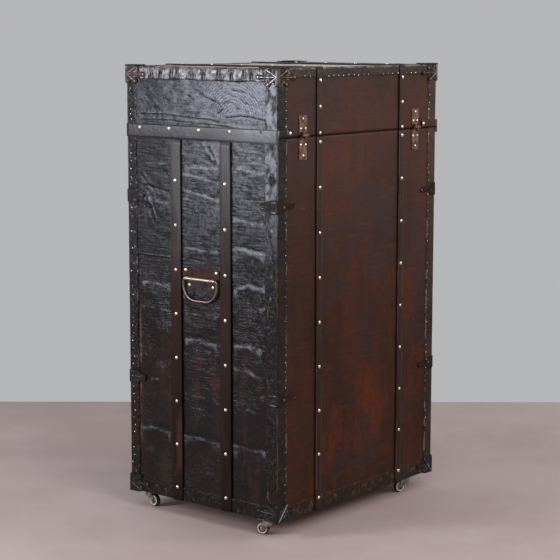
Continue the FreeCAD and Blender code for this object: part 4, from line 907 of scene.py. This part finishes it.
# ---------------------------------------------------------------- lining
def lining(body, half_x, half_y, low, high, level, up, seed):
    """Loose sheets on the four walls of a body, and on its floor or ceiling at a level."""
    heap = Heap()
    wide, deep, rise = spaced(-half_x, half_x, 15), spaced(-half_y, half_y, 15), spaced(low, high, 15)

    def sheet(u, v, origin, axes, seed):
        heap.add(slab(u, v, lambda a, b: 1.15 + 0.25 * layered(a / 90, b / 80, seed), 0.0), origin, axes)

    for sign in (-1, 1):
        sheet(deep, rise, (sign * half_x, 0, 0), (Y, Z, -sign * X), 5 + sign)
        sheet(wide, rise, (0, sign * half_y, 0), (X, Z, -sign * Y), 9 + sign)
    sheet(wide, deep, (0, 0, level), (X, Y, up * Z), seed)
    heap.make(body + "_lining_sheets", body, ["lining_cloth"], "lining_cloth", body + "_lining")


# ---------------------------------------------------------------- edge binding
FOLD = 3.5
FLAT = FOLD - BINDING
EDGE_STEPS = (0.0, 0.5, 1.4)
EDGE_LEVELS = [-0.6, 0.55 * BINDING, 0.95 * BINDING]
FOLD_TURNS = np.radians([18, 36, 54, 72])
STRIP_WIDTH = 36.0
LEG_LEVELS = np.array(EDGE_LEVELS + [BINDING] * 8)
LEG_FREE = np.array([0, 0] + [1] * 9)


def leg_columns(leg):
    """The places across one leg of a folded strip, from its free edge to the fold."""
    near = [-leg + step for step in EDGE_STEPS]
    return np.stack(near + [-leg + 4 + (leg - 4 - FLAT) * k / 7 for k in range(8)], axis=1)


def folded_strip(heap, origin, axes, legs, span, seed, step=5.0, rough=0.22, wave=1.2, puff=None,
                 groups=(0, 0)):
    """A strip folded over an edge. The first two axes point out of its faces and the third runs along it."""
    rows = spaced(*span, step)
    ones = np.ones((len(rows), 1))
    s_p, s_q = (leg_columns(leg + wave * layered(rows / 42 + seed, 0.5 + 4 * k, seed + k))
                for k, leg in enumerate(legs))
    cos, sin = np.cos(FOLD_TURNS), np.sin(FOLD_TURNS)
    a = np.hstack([ones * LEG_LEVELS, ones * (FOLD * cos - FLAT), s_q[:, ::-1]])
    b = np.hstack([s_p, ones * (FOLD * sin - FLAT), ones * LEG_LEVELS[::-1]])
    out_a = np.concatenate([np.ones(11), cos, np.zeros(11)])
    out_b = np.concatenate([np.zeros(11), sin, np.ones(11)])
    free = np.concatenate([LEG_FREE, [0.5] * 4, LEG_FREE[::-1]])
    side = np.hstack([-s_p, ones * np.zeros(4), s_q[:, ::-1]])
    along = rows[:, None]
    lift = rough * layered(side / 14 + 20, along / 16, seed + 7)
    if puff is not None:
        lift = lift + puff(side, along)
    lift = lift * free
    points = np.stack([a + out_a * lift, b + out_b * lift, along + 0 * a], axis=-1).reshape(-1, 3)
    # The pleats' hollow: their material paints highlights on the puffs and shade in the folds
    hollow = 0.0 if puff is None else 0.7 - 0.9 * lift
    count = a.shape[1]
    for group, keep in zip(groups, (range(10), range(10, count))):
        faces = [f for k, f in enumerate(grid_faces(len(rows), count)) if k % (count - 1) in keep]
        heap.add((points, faces), origin, axes, group, hollow)


def flat_strip(heap, origin, axes, half, seed, group=0):
    """A flat strip on a face: the first axis is across it, the second along and the third out."""
    rows = spaced(-half, half, 5.0)[:, None]
    edge = np.array(EDGE_STEPS)
    cols = np.concatenate([edge, np.linspace(4, STRIP_WIDTH - 4, 7), STRIP_WIDTH - edge[::-1]])
    level = np.array(EDGE_LEVELS + [BINDING] * 7 + EDGE_LEVELS[::-1])
    free = np.array([0, 0] + [1] * 9 + [0, 0])
    grow = layered(rows / 45 + seed, 0.5, seed)
    lift = 0.2 * layered(cols / 14 + 0 * rows, rows / 16, seed + 7) * free
    points = np.stack([cols + grow * cols / STRIP_WIDTH, rows + 0 * cols, level + lift], axis=-1)
    heap.add((points.reshape(-1, 3), grid_faces(len(rows), len(cols))), origin, axes, group)


PLEATS = (-205.0, -159.0, -129.0, -92.0, -72.0, -25.0, 14.0, 62.0, 103.0, 144.0, 166.0, 210.0)
PLEAT_NAILS = (-190.0, -156.0, -109.0, -62.0, -16.0, 27.0, 75.0, 119.0, 160.0, 200.0)


def pleat_puff(side, y):
    """The gathered strip: puffs between slanting creases; side is minus on the top face."""
    at = y + 6.0 * np.sin(y * 0.7) * (side - 16) / 16
    gap = np.min([np.abs(at - c) for c in PLEATS], axis=0)
    full = 1 - np.exp(-(gap / 4.5) ** 2)
    fine = 0.2 * np.sin(at / 3.4 + side / 9) + 0.7 * noise(at / 8, side / 9, 31)
    near = np.minimum(1.0, np.sqrt(np.maximum(side, 0) / 8)) * np.clip((34 - side) / 5, 0.2, 1)
    return np.where(side < 0, 0.2 * np.sin(y / 9.0), (2.4 * full - 0.7 + fine * full) * near)


def bindings():
    case, lid = Heap(), Heap()
    seed = 300
    for sx in SIDES:
        for sy in SIDES:
            seed += 10
            legs = (38.0 if sy > 0 else 30.0, 33.5)
            for heap, span, more in ((case, (FOOT, JOINT), 0), (lid, (LID_LOW, 1126.0), 5)):
                folded_strip(heap, (sx * HALF_X, sy * HALF_Y, 0), (sx * X, sy * Y, Z), legs, span,
                             seed + more, step=3.5, rough=0.4, groups=(1, 0))
        folded_strip(lid, (sx * HALF_X, 0, TOP), (sx * X, Z, Y), (31.0, 24.0), (-242.0, 242.0), 500 + sx,
                     step=1.8, wave=1.6, puff=pleat_puff, groups=(2, 0))
        flat_strip(case, (sx * HALF_X, 0, FOOT), (Z, Y, sx * X), HALF_Y, 520 + sx, group=1)
    for sy in SIDES:
        folded_strip(lid, (0, sy * HALF_Y, TOP), (sy * Y, Z, X), (22.0, 24.0), (2 - HALF_X, HALF_X - 2),
                     540 + sy)
        flat_strip(case, (0, sy * HALF_Y, FOOT), (Z, X, sy * Y), HALF_X, 560 + sy)
    for body, heap in (("case", case), ("lid", lid)):
        heap.make(body + "_binding_strips", body, ["binding_leather", "border_leather", "pleat_leather"],
                  "binding_leather", body + "_edge_binding")


def tack_row(places, start, end, pitch, normal, draw, spread=1.2):
    """Tacks along a line, a little out of step."""
    start = np.array(start, dtype=float)
    run = np.array(end) - start
    length = np.linalg.norm(run)
    ahead = run / length
    for i in range(int(length / pitch) + 1):
        at = min(length, i * pitch + draw.normal(0, pitch * 0.06))
        places.append((start + ahead * at + np.cross(ahead, normal) * draw.normal(0, spread), normal))


def tacks():
    draw = np.random.default_rng(7)
    side, back, lid, top, dark, dark_lid = ([] for _ in range(6))

    def upright(places, x, y, low, high, pitch, normal, spread=1.2):
        tack_row(places, (x, y, low), (x, y, high), pitch, normal, draw, spread)

    for sx in SIDES:
        x = sx * (HALF_X + BINDING)
        for sy in SIDES:
            y = sy * (HALF_Y + BINDING)
            upright(back, sx * 296.0, y, 92, 962, 20.0, sy * Y)
            upright(lid, sx * 296.0, y, 996, 1092, 20.0, sy * Y)
            if sy > 0:
                upright(dark, x, 213.0, 95, 950, 22.0, sx * X, 2.0)
            else:
                upright(side, x, -233.0, 95, 950, 20.0, sx * X, 2.6)
                upright(lid, x, -233.0, 1000, 1080, 13.0, sx * X)
        dark_lid += [((x, y, 1105.5), sx * X) for y in PLEAT_NAILS]
    for sy in SIDES:
        y = sy * (HALF_Y + BINDING)
        for x0, x1 in ((-252, -184), (-153, 153), (184, 252)):
            tack_row(top, (x0, y, 1113.5), (x1, y, 1113.5), 20.5, sy * Y, draw, 0.6)
    for name, body, metal_name, slot, kinds in (
            ("case_tacks", "case", "tack", "nail_brass",
             ((side, 1.7, 1.05, 0.3, 2), (back, 1.35, 0.9, 0.3, 5))),
            ("lid_tacks", "lid", "tack", "nail_brass", ((lid, 1.6, 1.0, 0.25, 3), (top, 1.7, 1.0, 0.2, 6))),
            ("case_iron_tacks", "case", "cap_plate_black", "cap_iron", ((dark, 2.3, 1.0, 0.15, 4),)),
            ("lid_iron_tacks", "lid", "cap_plate_black", "cap_iron", ((dark_lid, 2.3, 1.0, 0.15, 4),))):
        heap = Heap()
        for places, radius, rise, jitter, seed in kinds:
            add_domes(heap, places, radius, rise, 8, 3, jitter, seed)
        heap.make(name, body, [metal_name], slot)


# ---------------------------------------------------------------- straps, slats and bands
def straps_and_slats():
    straps, case, lid = Heap(), Heap(), Heap()
    for sx in SIDES:
        for y in STRAP_Y:
            straps.add(bar(913.3, 34.6, 4.4, y, 21 + sx), (sx * HALF_X, y, 42.3), (Y, Z, sx * X))
        for sy in SIDES:
            seed = 31 + sx + 3 * sy
            for heap, length, low, own in ((case, 927.6, 42.2, seed), (lid, 162.0, 971.4, seed + 1)):
                heap.add(bar(length, 22.6, 4.7, sx, own, corner=1.6), (sx * SLAT_X, sy * HALF_Y, low),
                         (X, Z, sy * Y))
        lid.add(bar(496.0, 22.6, 3.8, sx, 51 + sx, corner=1.6), (sx * SLAT_X, -248.0, TOP))
    straps.make("side_strap_covers", "case", ["strap_leather"], "strap_leather", "side_straps")
    case.make("case_slat_covers", "case", ["slat_leather"], "slat_wood", "case_slats")
    lid.make("lid_slat_covers", "lid", ["slat_leather"], "slat_wood", "lid_slats")


# the band's section as (out, z), wrapped over the joint
BAND_SECTION = [(0.0, 971.4), (2.1, 971.3), (2.1, 957.4), (2.5, 956.7), (3.6, 956.6), (4.3, 957.4),
                (4.5, 962.0), (4.55, 974.0), (4.5, 986.0), (4.3, 988.8), (3.4, 989.8),
                (1.5, 990.0), (0.0, 989.9)]


def side_bands():
    heap = Heap()
    out, z = np.array(BAND_SECTION).T
    y = spaced(-244.8, 249.3, 8.0)[:, None]
    for sx, tab in ((1, 46.0), (-1, 64.0)):
        rise = (0.2 * noise(y / 50, 0.5, 71 + sx) - 0.1) * (out > 3)
        drop = 0.5 * noise(y / 80, 3.5, 72 + sx) * (z < 960)
        heap.add(tube(np.stack([sx * (HALF_X + out + rise), y + 0 * z, z + drop], axis=-1)))
        heap.add(bar(tab + 3.0, 18.6, 4.3, sx, 75 + sx, 6.0, 1.4), (sx * (HALF_X - tab), HALF_Y, 980.7),
                 (Z, sx * X, Y), 1 if sx > 0 else 2)
    heap.add(dome_mesh(3.0, 0.5, 12, 3), (328.5, 196.5, 984.0), facing(X), 3)
    heap.make("lid_band_covers", "lid",
              ["band_leather", "binding_leather", "slat_leather", "cap_plate_black"], "strap_leather",
              "lid_side_bands")


# ---------------------------------------------------------------- dome nails
NAIL = (4.6, 2.8, 18, 5, 0.05)
SMALL_NAIL = (3.1, 2.0, 14, 4, 0.05)
LEAF_NAIL = (3.6, 2.6, 14, 4, 0.05)
LEAF_LOW = ((0.0, -48.3), (-8.9, -22.2), (8.9, -22.2))
LEAF_HIGH = ((0.0, 39.4), (-8.4, 16.0), (8.4, 16.0))


def leaf_nails(places):
    return [((s * HINGE_X + dx, 246.9, HINGE_AXIS[1] + dz), Y) for s in SIDES for dx, dz in places]


def dome_nails():
    case, small, lid = [], [], []
    for sx in SIDES:
        side = sx * X
        case += [((sx * 328.5, y, 76.5 + 111.2 * i), side) for y in STRAP_Y for i in range(8)]
        for sy in SIDES:
            case += [((sx * SLAT_X, sy * 250, 73.5 + 110.3 * i), sy * Y) for i in range(9)]
            lid += [((sx * SLAT_X, sy * 250, z), sy * Y) for z in (977.5, 1040.5, 1103.5)]
            small += [((sx * (HALF_X - inset), sy * 248, z), sy * Y)
                      for z in CLAMP_Z for inset in (20.0, 61.0)]
        lid += [((sx * SLAT_X, -199 + 99.5 * i, 1136), Z) for i in range(5)]
        lid += [((sx * 328.5, -199 + 99.5 * i, 981.5), side) for i in range(4 if sx > 0 else 5)]
        for dy, z, level in ((50.3, 634.8, 327.0), (38.9, 598.3, 325.5)):
            case += [((sx * level, HANDLE_Y + s * dy, z), side) for s in (-1, 1)]
    lid += [((x, 249.5, 981.5), Y) for x in (283.0, -265.0)]
    heap = Heap()
    add_domes(heap, case, *NAIL, 11)
    add_domes(heap, small, *SMALL_NAIL, 12, group=1)
    add_domes(heap, leaf_nails(LEAF_LOW), *LEAF_NAIL, 13)
    heap.make("case_nail_heads", "case", ["nail_brass", "clamp_ridge"], "nail_brass", "case_dome_nails")
    heap = Heap()
    add_domes(heap, lid, *NAIL, 14)
    add_domes(heap, leaf_nails(LEAF_HIGH), *LEAF_NAIL, 15)
    heap.make("lid_nail_heads", "lid", ["nail_brass"], "nail_brass", "lid_dome_nails")


# ---------------------------------------------------------------- hinges
LEAF_HALF = 14.5
LEAF_THICK = 2.0
LEAF_FOOT = HALF_Y - 0.1
KNUCKLE = 4.3
PIN = 2.4
PIN_HALF = 12.8


def hinges():
    """Strap hinges: two nailed leaves whose ends curl round a pin on the lid's axis."""
    case, lid = Heap(), Heap()
    for sx in SIDES:
        x = sx * HINGE_X
        for heap, low, high, curls, turn in ((case, 915.6, 967.6, ((-11.6, -4.2), (4.2, 11.6)), -1),
                                             (lid, 981.0, 1021.3, ((-3.8, 3.8),), 1)):
            near, far = (HINGE_AXIS[1] + reach * turn for reach in (1.4, 9.5))
            leaf = [(-LEAF_HALF, low), (LEAF_HALF, low), (LEAF_HALF, high), (-LEAF_HALF, high)]
            heap.add(outline_mesh(leaf, LEAF_THICK, 0.5, 0), (x, LEAF_FOOT, 0), (X, Z, Y))
            for left, right in curls:
                heap.add(curve_mesh([(x + left, *HINGE_AXIS), (x + right, *HINGE_AXIS)], KNUCKLE, 4))
                heap.add(rounded_block((x + left, LEAF_FOOT, near), (x + right, HALF_Y + 5.6, far), 1.4, 2))
        case.add(curve_mesh([(x - PIN_HALF, *HINGE_AXIS), (x + PIN_HALF, *HINGE_AXIS)], PIN, 3))
    case.make("hinge_leaves_low", "case", ["hinge_bronze"], "hinge_bronze", "hinge_lower_leaves",
              "hinge_pins")
    lid.make("hinge_leaves_high", "lid", ["hinge_bronze"], "hinge_bronze", "hinge_upper_leaves")


# ---------------------------------------------------------------- corner caps
CAP_PLATE = [(5, 0.5), (30, 0.5), (42, 2.5), (47.5, 7.5), (46.5, 14), (38, 17), (27, 17.5), (31, 20.5),
             (44, 20), (58, 17.5), (67, 17.5), (71.5, 24), (67, 31), (57, 31), (44, 28.5), (31, 28), (27, 31),
             (38, 35), (43.5, 40), (40, 46), (31, 46), (22, 39), (15, 37), (9.5, 46.5), (5, 46.5)]
CAP_RIDGES = [
    ([(7, 23.5), (21, 15), (38.5, 7)], 2.1), ([(7, 24.5), (20, 33.5), (35, 43)], 2.1),
    ([(38.5, 7), (43, 8.5), (44.5, 12.5), (41, 16), (36.5, 14.5)], 1.4),
    ([(15, 24), (34, 24.2), (57, 24.3)], 1.3),
    ([(30, 20), (36, 18.5), (43, 19.5)], 0.9), ([(30, 28.5), (36, 30), (43, 29.5)], 0.9),
    ([(12, 2), (16, 7), (19, 12)], 0.9), ([(16, 2), (27, 3), (36, 5)], 0.8),
    ([(13, 45), (17, 38), (20, 35.5)], 0.9),
    ([(8.7, 1.5), (8.7, 20)], 0.9), ([(8.7, 28), (8.7, 46)], 0.9),
]
CAP_RIVETS = [((40.3, 11.8), 2.6), ((62.5, 24.3), 4.2), ((33.5, 40.5), 2.4)]
# Ridges on the bottom caps' back wings in bright metal, a painted highlight
FOOT_HIGHLIGHT_RIDGES = [([(4, 3), (20, 22), (33, 36), (40, 44)], 1.7), ([(23, 12), (31, 19), (38, 26)], 1.0)]
CAP_FACE = 2.7
CAP_X, CAP_Y = 329.0, 250.0
CAP_INNER_X, CAP_INNER_Y = 319.5, 240.5
CAP_HEIGHT = 47.5
CAP_LIP = 4.6
SKIN = 1.4


def cap_wing(heap, origin, axes, group, highlight_ridges=()):
    """One decorated face: origin at the corner on the binding's face, the axes along, down and out."""
    heap.add(outline_mesh(CAP_PLATE, CAP_FACE, 0.7), origin, axes)
    add_ridges(heap, CAP_RIDGES, CAP_FACE, 0.35, origin, axes, group)
    # Bright ridges that paint a highlight
    add_ridges(heap, highlight_ridges, CAP_FACE, 0.1, origin, axes, 3)
    for (a, b), radius in CAP_RIVETS:
        heap.add(shifted(dome_mesh(radius, radius * 0.42), a, b, CAP_FACE - 0.4), origin, axes, group)


def corner_caps():
    for name, body, edge_z, down, flat, reach, highlight_ridges, node, metals in (
            ("top_caps", "lid", 1137.0, -1, 40.0, 68.0, (), "top_corner_caps",
             ["cap_plate_black", "cap_ridge", "cap_bronze", "cap_ridge", "cap_iron"]),
            ("bottom_caps", "case", 38.5, 1, 20.0, 20.0, FOOT_HIGHLIGHT_RIDGES, "bottom_corner_caps",
             ["cap_plate_black", "cap_ridge_black", "cap_ridge_black", "cap_ridge", "cap_plate_black"])):
        heap = Heap()
        lip_z = edge_z + down * CAP_LIP
        fan = [(4, 4), (reach, 4), (reach * 0.92, 12), (reach * 0.5, reach * 0.5), (12, reach * 0.92),
               (4, reach)]
        for sx, sy in CORNERS:
            x, y = sx * CAP_X, sy * CAP_Y
            inner_x, inner_y = sx * CAP_INNER_X, sy * CAP_INNER_Y
            cap_wing(heap, (sx * (HALF_X + SKIN), y, edge_z), (-sy * Y, down * Z, sx * X), 1 if sy > 0 else 2)
            cap_wing(heap, (x, sy * (HALF_Y + SKIN), edge_z), (-sx * X, down * Z, sy * Y), 2, highlight_ridges)
            heap.add(rounded_block((inner_x, inner_y, edge_z), (x, y, edge_z + down * CAP_HEIGHT), 4.4),
                     group=4)
            heap.add(rounded_block((x, inner_y, edge_z), (x - sx * flat, sy * 249.8, lip_z), 2.2, 2))
            heap.add(rounded_block((inner_x, y, edge_z), (sx * 328.8, y - sy * flat, lip_z), 2.2, 2))
            heap.add(outline_mesh(fan, 2.2, 0.6), (x, y, edge_z + down * 2.8), (-sx * X, -sy * Y, -down * Z))
        heap.make(name, body, metals, "cap_iron", node)


# ---------------------------------------------------------------- edge clamps
CLAMP_SIDE = [(2, 17), (14, 17), (26, 17), (36, 12), (50, 9), (58, 6), (57, -1), (56, -9), (49, -9.5),
              (42, -7), (33, -14), (20, -17), (2, -17)]
CLAMP_BACK = [(2, 17), (20, 17), (24, 10.5), (36, 8.5), (50, 8), (62, 7), (69, 1), (64, -6), (50, -6),
              (36, -6.5), (26, -12), (22, -17), (2, -17)]
CLAMP_RIDGES = [([(6, 12), (22, 12.5), (34, 8)], 1.0), ([(6, -12), (20, -12.5), (30, -9)], 1.0),
                ([(20, 1), (38, 1), (50, 1)], 0.8), ([(40, 5), (52, 6), (55, 0), (50, -5), (44, -4)], 0.9)]
CLAMP_X, CLAMP_Y = 327.0, 248.0
CLAMP_DEEP = 5.5
CLAMP_HALF = 17


def edge_clamps():
    heap = Heap()
    draw = np.random.default_rng(17)
    for sx, sy, z in ((sx, sy, z) for sx, sy in CORNERS for z in CLAMP_Z):
        tilt = draw.normal(0, 0.02)
        x, y = sx * CLAMP_X, sy * CLAMP_Y
        side = (sx * (HALF_X + SKIN), y, z), (-sy * Y, Z, sx * X)
        back = (x, sy * (HALF_Y + SKIN), z), (-sx * X, Z, sy * Y)
        for outline, place, plate, ridge in ((CLAMP_SIDE, side, 0, 1), (CLAMP_BACK, back, 2, 2)):
            points, faces = outline_mesh(outline, 1.5, 0.45)
            points[:, 1] += points[:, 0] * tilt
            heap.add((points, faces), *place, plate)
            add_ridges(heap, CLAMP_RIDGES, 1.35, 0, *place, ridge)
        inner = x - sx * CLAMP_DEEP, y - sy * CLAMP_DEEP, z - CLAMP_HALF
        heap.add(rounded_block(inner, (x, y, z + CLAMP_HALF), 2.6))
        heap.add(shifted(dome_mesh(3.0, 1.4), 13, 0, 1.4), *side, 1)
    heap.make("edge_clamp_plates", "case", ["clamp_iron", "clamp_ridge", "clamp_back"], "clamp_iron",
              "edge_clamps")


# ---------------------------------------------------------------- handles
UPPER_PLATE = mirrored([(-61, 0), (-61, 14), (-60, 24), (-52, 27.5)], (0, 27.5))
LOWER_PLATE = mirrored([(-61, 0), (-61, -14), (-58, -24), (-56, -36), (-48, -44), (-38, -45), (-28, -42),
                        (-20, -33), (-14, -36), (-8, -44)], (0, -45.5))
LOWER_RIM = mirrored([(-47, -20), (-45, -36), (-34, -38), (-20, -27), (-9, -38)])


def handle_plates():
    upper, lower = Heap(), Heap()
    for sx in SIDES:
        place = (sx * HALF_X, HANDLE_Y, 614.6), (Y, Z, sx * X)
        upper.add(outline_mesh(UPPER_PLATE, 3.0, 0.8), *place)
        upper.add(shifted(curve_mesh([(-49, 0), (49, 0)], 4.6, 5), 0, 0, 6.6), *place, 1)
        upper.add(shifted(curve_mesh([(-48, 0), (48, 0)], 1.2), 0, 4.4, 3.2), *place)
        lower.add(outline_mesh(LOWER_PLATE, 1.5, 0.45), *place)
        lower.add(shifted(dome_mesh(2.2, 0.5, 12, 3), 1, -35, 1.3), *place, 1)
        lower.add(shifted(curve_mesh(smooth_outline(LOWER_RIM)[3:-3], 0.6, 1), 0, 0, 1.5), *place, 2)
    upper.make("handle_upper_plates", "case", ["handle_rust", "handle_rod"], "handle_iron", "handle_sleeves")
    lower.make("handle_lower_plates", "case", ["handle_dark", "cap_plate_black", "clamp_ridge"],
               "handle_iron", "handle_back_plates")


# ---------------------------------------------------------------- CAD nodes that keep their shape
KEPT = (
    (0.6, "board_wood", "side_boards back_board front_board bottom_board top_lip lid_boards"),
    (0.4, "closure_brass", "closure_blocks closure_hinge_plates lock_hasp catch_arm_right catch_arm_left"),
    (0.25, "lock_steel", "lock_case lock_bolt"),
    (0.3, "rail_steel", "hanging_rail"),
    (0.6, "rail_steel", "rail_sockets"),
    (0.1, "bail_wire", "bail_right bail_left"),
    (0.3, "caster_iron", "caster_plates"),
    (1.2, "hanger_beech", "hanger_wood_1 hanger_wood_2 hanger_wood_3"),
    (0.1, "rail_steel", "hanger_hook_1 hanger_hook_2 hanger_hook_3"),
)
WELD = 0.00002


def soften(node, width, material):
    """A better material and rounded edges on a CAD node."""
    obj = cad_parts[node]
    obj.modifiers.new("weld", "WELD").merge_threshold = WELD
    bevel = obj.modifiers.new("bevel", "BEVEL")
    bevel.width = width * MM
    bevel.segments = 2
    bevel.limit_method = "ANGLE"
    bevel.angle_limit = math.radians(40)
    obj.data.materials.clear()
    obj.data.materials.append(M[material])


def kept_nodes():
    for width, material, nodes in KEPT:
        for node in nodes.split():
            soften(node, width, material)
    for corner in CASTERS:
        soften("caster_fork_" + corner, 0.3, "caster_iron")
        soften("caster_wheel_" + corner, 0.35, "wheel_" + corner)
        soften("caster_tyre_" + corner, 0.2, "wheel_" + corner)


# ---------------------------------------------------------------- stage, light and camera
HEADING = math.radians(-140.51)
PITCH = math.radians(-8.459)
ROLL = math.radians(0.056)
CAMERA = (3.399, 2.786, 1.230)
FLOOR_NEAR, FLOOR_FAR, FLOOR_SIDE = -4.5, 1.13, 5.0


def floor():
    """A plain floor that ends behind the trunk, squared to the camera."""
    work = bmesh.new()
    bmesh.ops.create_grid(work, x_segments=12, y_segments=12, size=1)
    cos, sin = math.cos(HEADING), math.sin(HEADING)
    for v in work.verts:
        along = FLOOR_NEAR + (FLOOR_FAR - FLOOR_NEAR) * (v.co.x + 1) / 2
        across = v.co.y * FLOOR_SIDE
        v.co = (along * cos - across * sin, along * sin + across * cos, 0)
    mesh = bpy.data.meshes.new("floor")
    work.to_mesh(mesh)
    work.free()
    mesh.materials.append(M["floor"])
    in_scene("floor", mesh)


def area_light(name, place, target, size, power, color=(1, 1, 1), spread=180):
    data = bpy.data.lights.new(name, "AREA")
    data.shape = "RECTANGLE"
    data.size, data.size_y = size
    data.energy = power
    data.spread = math.radians(spread)
    data.color = color
    light = in_scene(name, data)
    light.location = place
    light.rotation_euler = (Vector(target) - Vector(place)).to_track_quat("-Z", "Y").to_euler()


def lights():
    world = bpy.data.worlds.new("world")
    bpy.context.scene.world = world
    world.use_nodes = True
    back = world.node_tree.nodes["Background"]
    back.inputs["Color"].default_value = (0.465, 0.468, 0.48, 1)
    back.inputs["Strength"].default_value = 1.0
    area_light("window", (2.84, -1.63, 1.45), (0.32, 0, 1.0), (0.95, 1.4), 37, (0.95, 0.97, 1.07), 120)
    area_light("overhead", (0.4, 0.9, 3.4), (0, 0.1, 0.5), (2.4, 2.4), 20)
    area_light("room", (1.2, 3.3, 2.9), (0, 0.2, 0.8), (1.8, 1.8), 52, (1.0, 0.98, 0.96))
    area_light("wall", (-1.9, 2.6, 1.95), (0, 0.25, 1.0), (1.3, 1.3), 14.5, (1.0, 0.98, 1.0), 120)


def camera():
    data = bpy.data.cameras.new("camera")
    data.lens = 109.5
    data.sensor_width = 36.0
    data.clip_end = 100
    level = math.cos(PITCH)
    ahead = Vector((math.cos(HEADING) * level, math.sin(HEADING) * level, math.sin(PITCH)))
    turn = ahead.to_track_quat("-Z", "Y").to_matrix().to_4x4()
    made = in_scene("camera", data)
    made.matrix_world = Matrix.Translation(CAMERA) @ turn @ Matrix.Rotation(ROLL, 4, "Z")
    bpy.context.scene.camera = made


materials()
leather_skins()
lining("case", 312, 233, 54.0, 946.0, 54.0, 1, 13)
lining("lid", 313, 234, 981.2, 1121.0, 1121.0, -1, 14)
bindings()
tacks()
straps_and_slats()
side_bands()
dome_nails()
hinges()
corner_caps()
edge_clamps()
handle_plates()
kept_nodes()
floor()
lights()
camera()

scene = bpy.context.scene
scene.view_settings.view_transform = "Standard"
